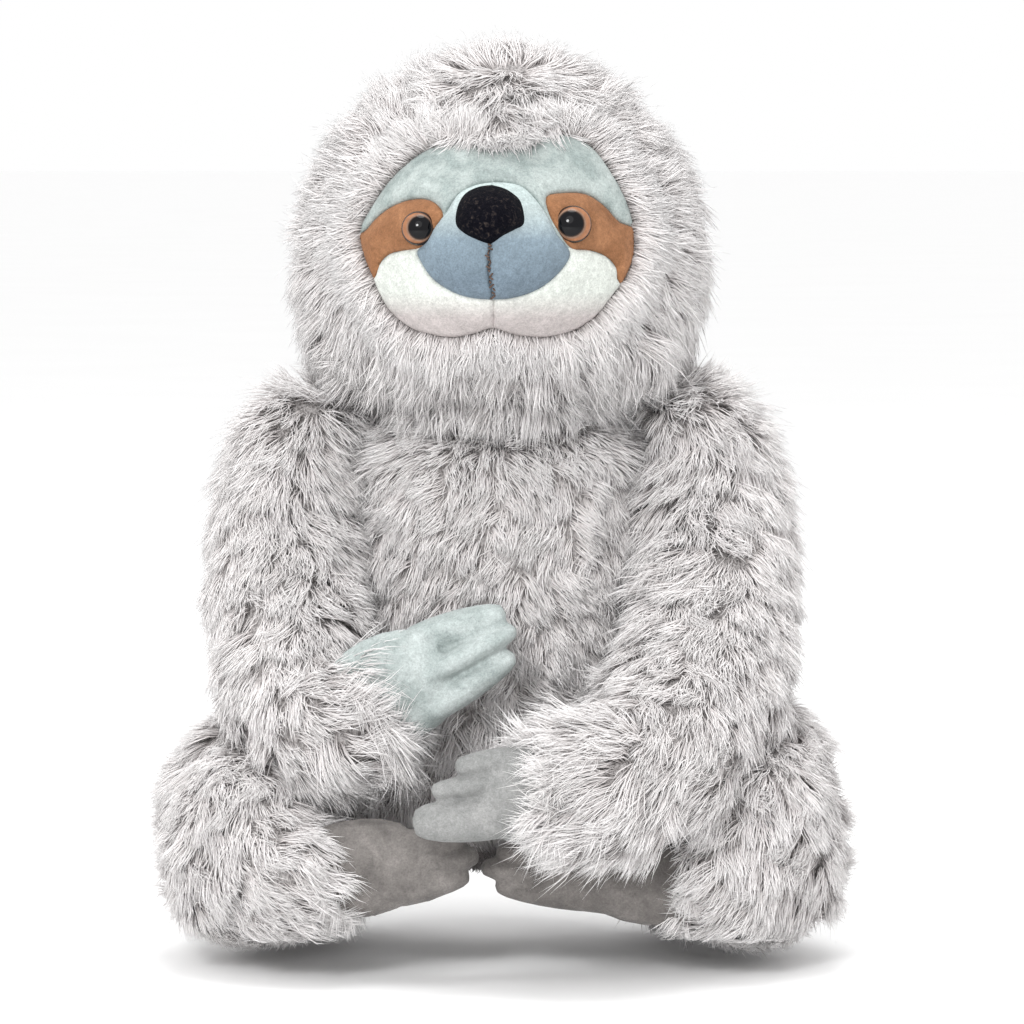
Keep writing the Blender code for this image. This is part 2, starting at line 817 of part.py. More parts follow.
def make_leg(word, side, shares, ankle_share, rise, arm_clearance):
    reference = Vector((0.0, 0.0, 1.0))
    stations = limb_stations(shares, side, leg_width, leg_height)
    ankle = Vector(along_curve(stations, ankle_share)[:3])
    way = Vector((-side * math.cos(rise), 0.0, math.sin(rise)))
    across = Vector((side * math.sin(rise), 0.0, math.cos(rise)))
    inner = Vector((-side * side_seam, hip_axis.y, hip_height))
    outer = Vector((side * (side_seam + joint_gap), hip_axis.y, hip_height))
    lap = cutter(f"cut_lap_{word}", rod(inner, outer, hip_clear_radius, lap_sides))
    far = Vector((torso_half_width, belly_half_depth, torso_height)) * 4.0
    floor = cutter(f"cut_floor_{word}", block(-far, Vector((far.x, far.y, 0.0))))
    pivot = Vector((side * side_seam, hip_axis.y, hip_height))
    swings = [swung_cutter(arm_clearance, pivot, -angle) for angle in lap_swings]
    cover = make_limb(
        "leg", word, stations, reference, pivot, ankle, way, ankle_radius,
        [lap, arm_clearance, *swings]
    )
    cut(cover, floor)
    make_mitten(
        "foot", word, ankle, way, across, foot_length, foot_width, foot_thickness, ankle_radius
    )


clear_scene()
body = collection("plush_sloth")
cutters = collection("cutters")
fur = material("grey_fur", fur_color, 0.95, 0.3)
mint = material("mint_velour", mint_color, 0.85, 0.4)
brown = material("brown_velour", brown_color, 0.85, 0.4)
blue = material("blue_velour", blue_color, 0.85, 0.4)
white = material("white_velour", white_color, 0.85, 0.4)
black = material("black_plush", nose_color, 0.75, 0.3)
amber = material("amber_eye", amber_color, 0.12)
stuffing = material("white_stuffing", stuffing_color, 1.0)
plastic = material("washer_plastic", washer_color, 0.5)

make_torso()
make_neck()
head_core = make_head()
face_back = cutter("cut_face_back", head_form(face_recess + velour_depth))
face_panels = make_face()
make_nose()
for side_sign, side_word in ((-1.0, "right"), (1.0, "left")):
    under_eye = [face_panels[f"{place}_{side_word}"] for place in ("eye_patch", "muzzle")]
    make_eye(side_word, side_sign, under_eye, head_core)
right_arm = make_arm("right", -1.0, right_arm_shares, right_wrist_share, right_hand_rise)
left_arm = make_arm("left", 1.0, left_arm_shares, left_wrist_share, left_hand_rise)
make_leg("right", -1.0, right_leg_shares, right_ankle_share, right_foot_rise, right_arm)
make_leg("left", 1.0, left_leg_shares, left_ankle_share, left_foot_rise, left_arm)
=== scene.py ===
"""The seated plush sloth, dressed: long-pile fur, velour face, hands and feet, glossy eyes."""
import math

import bmesh
import bpy
import numpy as np
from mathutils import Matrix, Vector
from mathutils.bvhtree import BVHTree
from mathutils.geometry import delaunay_2d_cdt
from mathutils.kdtree import KDTree


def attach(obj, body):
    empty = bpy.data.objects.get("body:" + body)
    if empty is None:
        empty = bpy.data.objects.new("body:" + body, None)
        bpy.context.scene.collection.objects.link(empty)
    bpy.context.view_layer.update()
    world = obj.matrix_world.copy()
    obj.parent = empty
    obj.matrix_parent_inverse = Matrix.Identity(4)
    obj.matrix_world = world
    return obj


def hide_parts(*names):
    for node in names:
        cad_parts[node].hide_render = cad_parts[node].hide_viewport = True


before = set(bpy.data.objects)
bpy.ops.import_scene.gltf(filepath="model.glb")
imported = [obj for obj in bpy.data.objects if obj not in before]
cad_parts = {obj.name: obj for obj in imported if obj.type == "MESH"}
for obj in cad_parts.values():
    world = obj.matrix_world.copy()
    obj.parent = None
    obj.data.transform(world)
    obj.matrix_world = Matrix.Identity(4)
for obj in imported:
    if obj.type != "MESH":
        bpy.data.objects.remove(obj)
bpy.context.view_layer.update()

SIDES = {"right": -1.0, "left": 1.0}
UP = Vector((0.0, 0.0, 1.0))
BODIES = ("torso", "head", "arm_right", "arm_left", "leg_right", "leg_left")

# Camera, as the photograph was taken
PICTURE = 1024.0
SENSOR = 36.0
LENS = 173.0
CAMERA_DISTANCE = 1.9
CAMERA_RISE = math.radians(4.0)
AIM = Vector((0.0, 0.0405, 0.175))
AIM_PIXEL = (500.0, 491.0)
CAMERA_SPOT = AIM + CAMERA_DISTANCE * Vector((0.0, -math.cos(CAMERA_RISE), math.sin(CAMERA_RISE)))
SIGHT_AHEAD = (AIM - CAMERA_SPOT).normalized()
SIGHT_UP = Vector((1.0, 0.0, 0.0)).cross(SIGHT_AHEAD).normalized()

# Head, as in the CAD model
HEAD_MIDDLE = np.array(Vector((0.0, 0.0355, 0.262)))
HEAD_HALF = (0.080, 0.070, 0.086)
SEAT_RADIUS = 0.062
SEAT_ANGLE = math.radians(44.0)
JOWL_ANGLE = math.radians(64.0)
MUZZLE_REACH = 0.022
MUZZLE_HALF = (0.034, 0.029)
MUZZLE_SPOT = (-0.0025, 0.269)
FACE_RECESS = 0.006

# Middle lines of the limbs, from the shoulder or hip to the wrist or ankle
LIMB_LINES = {
    "arm_right": (
        (-0.0804, 0.0431, 0.2165), (-0.0811, 0.0373, 0.1822), (-0.0811, 0.0239, 0.1462),
        (-0.0784, -0.0017, 0.1147), (-0.0679, -0.0305, 0.0925), (-0.0540, -0.0446, 0.0981),
        (-0.0362, -0.0497, 0.1119),
    ),
    "arm_left": (
        (0.0798, 0.0431, 0.2165), (0.0804, 0.0373, 0.1822), (0.0798, 0.0226, 0.1480),
        (0.0771, -0.0056, 0.1166), (0.0666, -0.0459, 0.0907), (0.0421, -0.0734, 0.0777),
        (0.0085, -0.0837, 0.0755),
    ),
    "leg_right": (
        (-0.0496, 0.0725, 0.0448), (-0.0714, 0.0431, 0.0393), (-0.0893, 0.0123, 0.0468),
        (-0.0970, -0.0171, 0.0478), (-0.0854, -0.0453, 0.0400), (-0.0637, -0.0568, 0.0400),
        (-0.0496, -0.0593, 0.0410),
    ),
    "leg_left": (
        (0.0496, 0.0725, 0.0448), (0.0714, 0.0431, 0.0388), (0.0906, 0.0123, 0.0492),
        (0.0982, -0.0171, 0.0523), (0.0906, -0.0401, 0.0400), (0.0726, -0.0491, 0.0360),
        (0.0573, -0.0517, 0.0360),
    ),
}

# Outlines on the face, in the photograph's pixels
FACE_OUTLINE = (
    (358, 231), (367, 211), (387, 181), (411, 158), (434, 145), (458, 142), (481, 143),
    (505, 142), (528, 138), (549, 133), (569, 134), (593, 146), (610, 167), (625, 193),
    (634, 219), (636, 243), (634, 261), (625, 281), (616, 293), (601, 313), (581, 328),
    (555, 337), (528, 338), (507, 334), (492, 329), (477, 334), (452, 338), (428, 335),
    (408, 328), (387, 310), (376, 290), (370, 275), (361, 252),
)
MUZZLE_OUTLINE = (
    (446, 211), (458, 193), (475, 184), (496, 181), (519, 184), (534, 196), (547, 214),
    (558, 234), (571, 252), (563, 269), (543, 287), (519, 297), (493, 300), (461, 296),
    (434, 281), (420, 262), (416, 251), (424, 243), (434, 227),
)
PATCH_OUTLINES = {
    "right": (
        (408, 199), (428, 199), (440, 208), (442, 217), (436, 226), (422, 246), (404, 250),
        (388, 254), (378, 264), (371, 280), (350, 282), (340, 240), (361, 232), (373, 219),
        (388, 207),
    ),
    "left": (
        (547, 196), (563, 192), (587, 193), (607, 206), (622, 222), (650, 236), (652, 290),
        (622, 284), (618, 268), (607, 256), (590, 250), (572, 248), (560, 232), (550, 214),
    ),
}
CHEEK_OUTLINES = {
    "right": (
        (494, 240), (422, 246), (404, 250), (388, 254), (378, 264), (371, 280), (350, 282),
        (350, 360), (493, 360),
    ),
    "left": (
        (494, 240), (572, 248), (590, 250), (607, 256), (618, 268), (622, 284), (652, 290),
        (650, 360), (493, 360),
    ),
}
NOSE_OUTLINE = (
    (456, 208), (463, 195), (474, 188), (488, 185), (502, 187), (514, 193), (523, 203),
    (526, 224), (516, 231), (502, 238), (491, 244), (478, 242), (463, 235), (454, 225),
)
NOSE_MIDDLE = (490.0, 212.0)
SEAM_PIXELS = ((492, 181), (490, 244), (488, 272), (493, 300), (493, 360))
STITCH_LINE = ((490, 243), (488, 258), (490, 272), (492, 286), (495, 299))
EYE_PIXELS = {"right": (420.0, 229.0), "left": (571.5, 225.0)}
EYE_RADIUS = {"right": 0.0064, "left": 0.0070}

# Colours of the fur, from root to tip and over a lock's tone; the darker roots are painted shade deep in the
# pile
FUR_ALONG = (
    (0.0, (0.40, 0.365, 0.355)), (0.30, (0.775, 0.743, 0.737)),
    (0.62, (0.885, 0.863, 0.859)), (1.0, (0.948, 0.936, 0.934)),
)
LOCK_TONES = ((0.0, (0.80, 0.785, 0.78)), (0.35, (0.955, 0.948, 0.946)), (1.0, (1.02, 1.02, 1.02)))
# Brightness of each copy of the fur: the head's copy is darkened as painted shade, the body's is not
BODY_SHADE = 1.0
HEAD_SHADE = 0.945
# Painted shade low on the belly between the feet: its tones, and the heights and depths over which it fades
# out
SEAT_SHADE_TONES = ((0.0, (0.10, 0.09, 0.088)), (1.0, (1.0, 1.0, 1.0)))
SEAT_SHADE_HEIGHTS = (0.040, 0.054)
SEAT_SHADE_DEPTHS = (0.010, 0.030)
# Tones of the fur's backing, dark as painted shade between the locks
BACKING_TONES = ((0.36, (0.15, 0.138, 0.134)), (0.62, (0.52, 0.495, 0.49)))
BACKING_STRETCH = (1.0, 1.0, 0.22)

# Lowest and highest tone of each velour
MINT = ((0.275, 0.325, 0.315), (0.44, 0.49, 0.475))
BROWN = ((0.23, 0.104, 0.048), (0.36, 0.174, 0.086))
NEUTRAL = ((0.90, 0.90, 0.90), (1.06, 1.06, 1.06))
HAND = ((0.35, 0.40, 0.39), (0.51, 0.56, 0.55))
PAW = ((0.25, 0.255, 0.25), (0.35, 0.35, 0.345))
# The soles: a grey velour, darkened further as painted shade for feet that sit in shade
SHADED_SOLE = ((0.145, 0.135, 0.128), (0.25, 0.232, 0.22))

# The muzzle turns from steel blue at the mouth to pale aqua above the nose, and the
# cheeks turn a pinkish grey towards the chin: heights, and tones between them
MUZZLE_FADE = ((0.258, 0.292), (
    (0.0, (0.165, 0.215, 0.262)), (0.45, (0.225, 0.29, 0.34)),
    (0.78, (0.47, 0.545, 0.545)), (1.0, (0.52, 0.61, 0.60)),
))
CHEEK_FADE = ((0.238, 0.254), (
    (0.0, (0.52, 0.475, 0.465)), (0.40, (0.52, 0.475, 0.465)), (1.0, (0.67, 0.70, 0.655)),
))

# Tones of the small parts and of the floor
NOSE_TONES = ((0.38, (0.001, 0.001, 0.003)), (0.55, (0.003, 0.003, 0.006)), (0.74, (0.055, 0.043, 0.037)))
THREAD_TONES = ((0.3, (0.035, 0.022, 0.018)), (0.7, (0.16, 0.10, 0.075)))
WASHER_TONES = ((0.3, (0.68, 0.69, 0.72)), (0.7, (0.78, 0.79, 0.81)))
FLOOR_TONES = ((0.3, (0.97, 0.97, 0.97)), (0.7, (0.985, 0.985, 0.985)))
EYE_TONES = (
    (0.0, (0.002, 0.002, 0.003)), (0.430, (0.002, 0.002, 0.003)), (0.460, (0.05, 0.028, 0.018)),
    (0.49, (0.22, 0.14, 0.10)), (0.56, (0.33, 0.145, 0.07)),
)
EYE_FLECKS = ((0.3, (0.75, 0.75, 0.75)), (0.7, (1.15, 1.15, 1.15)))
EYE_RIM = (0.020, 0.012, 0.010)
RIM_SHARES = (0.940, 0.962)
IRIS_SHARE = 1.5

# Noises: scale, detail, roughness, distortion
CLOTH_NOISE = (90.0, 4.0, 0.55, 0.4)
NAP_NOISE = (420.0, 3.0, 0.65, 0.8)
NAP_TONES = ((0.34, (0.86, 0.86, 0.86)), (0.66, (1.08, 1.08, 1.08)))
GRAIN_NOISE = (1500.0, 3.0, 0.75)
GRAIN_TONES = ((0.30, (0.74, 0.74, 0.74)), (0.70, (1.12, 1.12, 1.12)))
CLOTH_PLACES = (0.34, 0.66)
HAIR_NOISE = (1300.0, 2.0, 0.6, 0.5)
NOSE_NOISE = (650.0, 4.0, 0.7, 0.6)
THREAD_NOISE = (2600.0, 2.0)
WASHER_NOISE = (900.0,)
FLOOR_NOISE = (3.0,)
IRIS_NOISE = (420.0, 3.0, 0.6, 1.0)

rng = np.random.default_rng(7)


# Materials

def new_material(name, **values):
    """A material with its tree and its shader, the shader's own values set."""
    made = bpy.data.materials.new(name)
    made.use_nodes = True
    shader = made.node_tree.nodes["Principled BSDF"]
    for socket, value in values.items():
        shader.inputs[socket.replace("_", " ")].default_value = value
    return made, made.node_tree, shader


def object_coordinates(tree):
    return tree.nodes.new("ShaderNodeTexCoord").outputs["Object"]


def parts_of(tree, vector):
    """A vector's parts, by their letters."""
    made = tree.nodes.new("ShaderNodeSeparateXYZ")
    tree.links.new(vector, made.inputs["Vector"])
    return made.outputs


def noise_node(tree, vector, scale, detail=3.0, roughness=0.6, distortion=0.0):
    made = tree.nodes.new("ShaderNodeTexNoise")
    made.inputs["Scale"].default_value = scale
    made.inputs["Detail"].default_value = detail
    made.inputs["Roughness"].default_value = roughness
    made.inputs["Distortion"].default_value = distortion
    tree.links.new(vector, made.inputs["Vector"])
    return made.outputs["Fac"]


def ramp_node(tree, value, stops):
    made = tree.nodes.new("ShaderNodeValToRGB")
    ramp = made.color_ramp
    while len(ramp.elements) < len(stops):
        ramp.elements.new(0.5)
    for element, (place, color) in zip(ramp.elements, stops):
        element.position = place
        element.color = (*color, 1.0)
    tree.links.new(value, made.inputs["Fac"])
    return made.outputs["Color"]


def mixed(tree, kind, share, first, second):
    made = tree.nodes.new("ShaderNodeMix")
    made.data_type = "RGBA"
    made.blend_type = kind
    if isinstance(share, float):
        made.inputs["Factor"].default_value = share
    else:
        tree.links.new(share, made.inputs["Factor"])
    for socket, source in ((made.inputs[6], first), (made.inputs[7], second)):
        if isinstance(source, tuple):
            socket.default_value = (*source, 1.0)
        else:
            tree.links.new(source, socket)
    return made.outputs[2]


def multiplied(tree, first, second):
    return mixed(tree, "MULTIPLY", 1.0, first, second)


def range_node(tree, value, low, high):
    """Where a value lies between low and high, from 0 to 1."""
    made = tree.nodes.new("ShaderNodeMapRange")
    made.inputs["From Min"].default_value = low
    made.inputs["From Max"].default_value = high
    tree.links.new(value, made.inputs["Value"])
    return made.outputs["Result"]


def distance_node(tree, at, spot):
    made = tree.nodes.new("ShaderNodeVectorMath")
    made.operation = "DISTANCE"
    tree.links.new(at, made.inputs[0])
    made.inputs[1].default_value = spot
    return made.outputs["Value"]


def bump(tree, shader, height, strength, distance):
    made = tree.nodes.new("ShaderNodeBump")
    made.inputs["Strength"].default_value = strength
    made.inputs["Distance"].default_value = distance
    tree.links.new(height, made.inputs["Height"])
    tree.links.new(made.outputs["Normal"], shader.inputs["Normal"])


def velour_material(name, tones, sheen=0.15, fade=None):
    """Short nap: mottled tone, crushed patches and a fine grain of fibre ends."""
    made, tree, shader = new_material(
        name, Roughness=0.9, Sheen_Weight=sheen, Sheen_Roughness=0.4, Specular_IOR_Level=0.15,
    )
    at = object_coordinates(tree)
    grain = noise_node(tree, at, *GRAIN_NOISE)
    color = ramp_node(tree, noise_node(tree, at, *CLOTH_NOISE), list(zip(CLOTH_PLACES, tones)))
    if fade:
        heights, stops = fade
        share = range_node(tree, parts_of(tree, at)["Z"], *heights)
        color = multiplied(tree, ramp_node(tree, share, stops), color)
    color = multiplied(tree, color, ramp_node(tree, grain, GRAIN_TONES))
    color = multiplied(tree, color, ramp_node(tree, noise_node(tree, at, *NAP_NOISE), NAP_TONES))
    tree.links.new(color, shader.inputs["Base Color"])
    bump(tree, shader, grain, 0.6, 0.0005)
    return made


def seat_shade(tree, color):
    """Painted shade: fur darkened low on the belly, between the feet, where no light gets."""
    parts = parts_of(tree, object_coordinates(tree))
    open_air = tree.nodes.new("ShaderNodeMath")
    open_air.operation = "MAXIMUM"
    tree.links.new(range_node(tree, parts["Z"], *SEAT_SHADE_HEIGHTS), open_air.inputs[0])
    tree.links.new(range_node(tree, parts["Y"], *SEAT_SHADE_DEPTHS), open_air.inputs[1])
    return multiplied(tree, color, ramp_node(tree, open_air.outputs["Value"], SEAT_SHADE_TONES))


def fur_material(name, shade, low=None):
    """Fur by its strands' own layout: across is the lock's tone, up is root to tip."""
    made, tree, shader = new_material(name, Roughness=0.62, Specular_IOR_Level=0.35, Sheen_Weight=0.15)
    at = tree.nodes.new("ShaderNodeUVMap")
    at.uv_map = "OFBake"
    parts = parts_of(tree, at.outputs["UV"])
    # The colours from root to tip times shade, which paints shade on the head's copy
    stops = [(place, tuple(shade * part for part in color)) for place, color in FUR_ALONG]
    color = multiplied(tree, ramp_node(tree, parts["Y"], stops), ramp_node(tree, parts["X"], LOCK_TONES))
    tree.links.new(low(tree, color) if low else color, shader.inputs["Base Color"])
    return made


def noise_material(name, noise, tones, relief=None, stretch=None, **values):
    """One noise that gives the tone, and the relief where its strength and depth are given."""
    made, tree, shader = new_material(name, **values)
    at = object_coordinates(tree)
    if stretch:
        drawn = tree.nodes.new("ShaderNodeMapping")
        drawn.inputs["Scale"].default_value = stretch
        tree.links.new(at, drawn.inputs["Vector"])
        at = drawn.outputs["Vector"]
    level = noise_node(tree, at, *noise)
    tree.links.new(ramp_node(tree, level, tones), shader.inputs["Base Color"])
    if relief:
        bump(tree, shader, level, *relief)
    return made


def backing_material():
    """The knitted backing between the locks, painted dark as shade because no light gets there."""
    return noise_material(
        "pile_backing", HAIR_NOISE, BACKING_TONES, (0.9, 0.0012), BACKING_STRETCH, Roughness=1.0,
    )


def nose_material():
    return noise_material(
        "nose_plush", NOSE_NOISE, NOSE_TONES, (0.9, 0.0009), Roughness=0.75, Specular_IOR_Level=0.06,
    )


def washer_material():
    return noise_material("washer_plastic_grained", WASHER_NOISE, WASHER_TONES, Roughness=0.5)


def thread_material():
    return noise_material("brown_thread", THREAD_NOISE, THREAD_TONES, (0.5, 0.0002), Roughness=0.8)


def floor_material():
    return noise_material("pale_floor", FLOOR_NOISE, FLOOR_TONES, Roughness=0.9)


def eye_material(name, middle, pupil, radius):
    """A moulded eye: black pupil set towards the nose in an amber ring, under a clear coat."""
    made, tree, shader = new_material(
        name, Roughness=0.12, Specular_IOR_Level=0.0, Coat_Weight=1.0, Coat_IOR=1.31, Coat_Roughness=0.03,
    )
    at = object_coordinates(tree)
    share = range_node(tree, distance_node(tree, at, pupil), 0.0, IRIS_SHARE * radius)
    flecks = ramp_node(tree, noise_node(tree, at, *IRIS_NOISE), EYE_FLECKS)
    iris = multiplied(tree, ramp_node(tree, share, EYE_TONES), flecks)
    rim = range_node(tree, distance_node(tree, at, middle), *(part * radius for part in RIM_SHARES))
    tree.links.new(mixed(tree, "MIX", rim, iris, EYE_RIM), shader.inputs["Base Color"])
    return made


# Shapes

def side_of(body):
    return SIDES[body.rsplit("_", 1)[1]]


def turns(sides):
    return [2.0 * math.pi * i / sides for i in range(sides)]


def placed(name, data):
    """An object with this data, in the scene."""
    made = bpy.data.objects.new(name, data)
    bpy.context.scene.collection.objects.link(made)
    return made


def mesh_object(name, verts, faces, finish):
    mesh = bpy.data.meshes.new(name)
    mesh.from_pydata([tuple(v) for v in verts], [], faces)
    mesh.update()
    mesh.shade_smooth()
    mesh.materials.append(finish)
    return placed(name, mesh)


def ring_faces(first, rings, sides, inward=False):
    """Faces between rings of vertices that follow each other."""
    faces = []
    for a in range(first, first + (rings - 1) * sides, sides):
        for i in range(sides):
            j = (i + 1) % sides
            face = (a + i, a + j, a + sides + j, a + sides + i)
            faces.append(face[:1] + face[:0:-1] if inward else face)
    return faces


def fan(first, sides, tip):
    """Faces from a ring of vertices to one tip."""
    return [(first + i, first + (i + 1) % sides, tip) for i in range(sides)]


def face_out(obj):
    """Turns an object's faces outwards."""
    bm = bmesh.new()
    bm.from_mesh(obj.data)
    bmesh.ops.recalc_face_normals(bm, faces=bm.faces)
    if bm.calc_volume(signed=True) < 0.0:
        bmesh.ops.reverse_faces(bm, faces=bm.faces)
    bm.to_mesh(obj.data)
    bm.free()


def settle(obj, **steps):
    """Runs modifiers on an object and keeps their result as its mesh."""
    for kind, settings in steps.items():
        made = obj.modifiers.new(kind, kind)
        for key, value in settings.items():
            setattr(made, key, value)
    graph = bpy.context.evaluated_depsgraph_get()
    graph.update()
    mesh = bpy.data.meshes.new_from_object(obj.evaluated_get(graph))
    obj.modifiers.clear()
    old = obj.data
    obj.data = mesh
    bpy.data.meshes.remove(old)


def rounded_off(obj, voxel, rounds):
    """Joins what crosses in an object into one skin, and smooths it."""
    settle(
        obj,
        REMESH={"mode": "VOXEL", "voxel_size": voxel, "use_smooth_shade": True},
        SMOOTH={"factor": 0.5, "iterations": rounds},
    )


def read_mesh(mesh):
    """Vertices, normals and triangles of a mesh as arrays."""
    mesh.calc_loop_triangles()
    read = []
    for items, key, kind in (
        (mesh.vertices, "co", float), (mesh.vertices, "normal", float),
        (mesh.loop_triangles, "vertices", np.int32),
    ):
        rows = np.empty(len(items) * 3, dtype=kind)
        items.foreach_get(key, rows)
        read.append(rows.reshape(-1, 3))
    return read


def unit(rows):
    return rows / np.maximum(np.linalg.norm(rows, axis=-1, keepdims=True), 1e-9)


def rising(values, low, high):
    """A smooth share from 0 at low to 1 at high."""
    share = np.clip((values - low) / (high - low), 0.0, 1.0)
    return share * share * (3.0 - 2.0 * share)


def falling(values, low, high):
    return 1.0 - rising(values, low, high)


def swirl(points, size):
    """A smooth, repeatable wobble between -1 and 1 over space."""
    x, y, z = (points / size).T
    return (
        np.sin(x * 1.7 + 1.3 * np.sin(y * 1.1 + 0.4)) * np.cos(y * 1.9 - 0.7 * z)
        + np.sin(z * 2.3 + 0.9 * np.sin(x * 1.3 - 1.1)) * np.cos(x * 0.8 + y)
    ) / 2.0


# The camera's lines of sight, and the head's surface

SEARCH_NEAR = 0.16
SEARCH_FAR = 0.02
SEARCH_STEPS = 60
SEARCH_HALVINGS = 26


def sight_lines(pixels):
    """The directions in which the camera sees these pixels."""
    pixels = np.atleast_2d(np.asarray(pixels, dtype=float))
    across = (pixels[:, 0] - AIM_PIXEL[0]) / PICTURE * SENSOR / LENS
    above = (AIM_PIXEL[1] - pixels[:, 1]) / PICTURE * SENSOR / LENS
    rows = (
        np.array(SIGHT_AHEAD)[None, :] + across[:, None] * np.array((1.0, 0.0, 0.0))
        + above[:, None] * np.array(SIGHT_UP)
    )
    return unit(rows)


def pixel_of(points):
    """The pixels at which the camera sees these points."""
    rows = np.asarray(points, dtype=float) - np.array(CAMERA_SPOT)
    depth = rows @ np.array(SIGHT_AHEAD)
    across = rows[:, 0] / depth * LENS / SENSOR * PICTURE + AIM_PIXEL[0]
    above = AIM_PIXEL[1] - (rows @ np.array(SIGHT_UP)) / depth * LENS / SENSOR * PICTURE
    return np.stack((across, above), axis=1)


def tilt_of(ways):
    """The angle between each direction and straight down."""
    return np.arccos(np.clip(-ways[:, 2], -1.0, 1.0))


def head_reach(ways):
    """How far the fur's outline lies from the head's middle, in each direction."""
    x, y, z = ways.T
    oval = 1.0 / np.sqrt((x / HEAD_HALF[0]) ** 2 + (y / HEAD_HALF[1]) ** 2 + (z / HEAD_HALF[2]) ** 2)
    reach = SEAT_RADIUS + (oval - SEAT_RADIUS) * rising(tilt_of(ways), SEAT_ANGLE, JOWL_ANGLE)
    spots = HEAD_MIDDLE + ways * oval[:, None]
    across = (spots[:, 0] - MUZZLE_SPOT[0]) / MUZZLE_HALF[0]
    above = (spots[:, 2] - MUZZLE_SPOT[1]) / MUZZLE_HALF[1]
    bulge = MUZZLE_REACH * np.exp(-(across**2) - above**2)
    return reach + np.where(y < 0.0, bulge, 0.0)


def face_points(pixels, inset):
    """Where the camera's lines of sight meet the head's surface, at an inset."""
    ways = sight_lines(pixels)
    start = np.array(CAMERA_SPOT)

    def inside_at(now):
        rows = start + ways * now[:, None] - HEAD_MIDDLE
        size = np.linalg.norm(rows, axis=1)
        return size < head_reach(rows / size[:, None]) - inset

    near = np.full(len(ways), CAMERA_DISTANCE - SEARCH_NEAR)
    far = np.full(len(ways), CAMERA_DISTANCE + SEARCH_FAR)
    hit_low = near.copy()
    hit_high = far.copy()
    found = np.zeros(len(ways), dtype=bool)
    before = near
    for step in np.linspace(0.0, 1.0, SEARCH_STEPS)[1:]:
        now = near + (far - near) * step
        inside = inside_at(now)
        fresh = inside & ~found
        hit_low[fresh] = before[fresh]
        hit_high[fresh] = now[fresh]
        found |= inside
        before = now
    for _ in range(SEARCH_HALVINGS):
        now = (hit_low + hit_high) / 2.0
        inside = inside_at(now)
        hit_high = np.where(inside, now, hit_high)
        hit_low = np.where(inside, hit_low, now)
    return start + ways * ((hit_low + hit_high) / 2.0)[:, None]


# Outlines in pixels

def rounded(points, per_span=4):
    """A closed smooth curve through the points."""
    points = np.asarray(points, dtype=float)
    count = len(points)
    out = []
    for i in range(count):
        before, start, end, after = (points[(i + k) % count] for k in (-1, 0, 1, 2))
        for step in range(per_span):
            t = step / per_span
            out.append(0.5 * (
                2.0 * start + (end - before) * t
                + (2.0 * before - 5.0 * start + 4.0 * end - after) * t**2
                + (3.0 * start - before - 3.0 * end + after) * t**3
            ))
    return np.array(out)


def evenly(points, spacing):
    """A closed line's points again, at an even spacing."""
    closed = np.vstack((points, points[:1]))
    lengths = np.linalg.norm(np.diff(closed, axis=0), axis=1)
    along = np.concatenate(((0.0,), np.cumsum(lengths)))
    count = max(8, int(along[-1] / spacing))
    places = np.arange(count) * along[-1] / count
    return np.stack([np.interp(places, along, closed[:, k]) for k in (0, 1)], axis=1)


def within(outline, points):
    """Whether each point lies inside a closed outline."""
    x, y = points[:, 0], points[:, 1]
    inside = np.zeros(len(points), dtype=bool)
    for (ax, ay), (bx, by) in zip(outline, np.roll(outline, -1, axis=0)):
        crosses = (ay > y) != (by > y)
        slope = (bx - ax) / (by - ay) if by != ay else 0.0
        inside ^= crosses & (x < ax + (y - ay) * slope)
    return inside


def distance_to(segments, points):
    """How far each point lies from the nearest of these segments."""
    best = np.full(len(points), 1e9)
    for start, end in segments:
        way = end - start
        share = np.clip(((points - start) @ way) / max(way @ way, 1e-9), 0.0, 1.0)
        best = np.minimum(best, np.linalg.norm(points - start - share[:, None] * way, axis=1))
    return best


def edge_distance(outline, points):
    """How far each point lies from a closed outline."""
    return distance_to(zip(outline, np.roll(outline, -1, axis=0)), points)


# Face panels

PANEL_GRID = 2.6
ROW_SHARE = 0.866
GRID_ROOM = 0.55
MERGE_REACH = 0.05
PANEL_THICKNESS = 0.0030
SEAM_WIDTH = 2.6
SEAM_DEPTH = 0.0011
PANEL_PUFF = 0.0012
PUFF_WIDTH = 16.0
PANEL_SLOTS = {
    "forehead": "mint_velour", "muzzle": "blue_velour", "cheek": "white_velour", "eye_patch": "brown_velour",
}

face_line = evenly(rounded(FACE_OUTLINE), PANEL_GRID)
muzzle_line = evenly(rounded(MUZZLE_OUTLINE), PANEL_GRID)
patch_lines = {word: evenly(rounded(line, 3), PANEL_GRID) for word, line in PATCH_OUTLINES.items()}
cheek_lines = {word: np.asarray(line, dtype=float) for word, line in CHEEK_OUTLINES.items()}


def seam_steps(start, end):
    """Points from start towards end, without end."""
    count = int(max(abs(end[1] - start[1]) / PANEL_GRID, 2))
    return np.stack([np.linspace(a, b, count, endpoint=False) for a, b in zip(start, end)], axis=1)


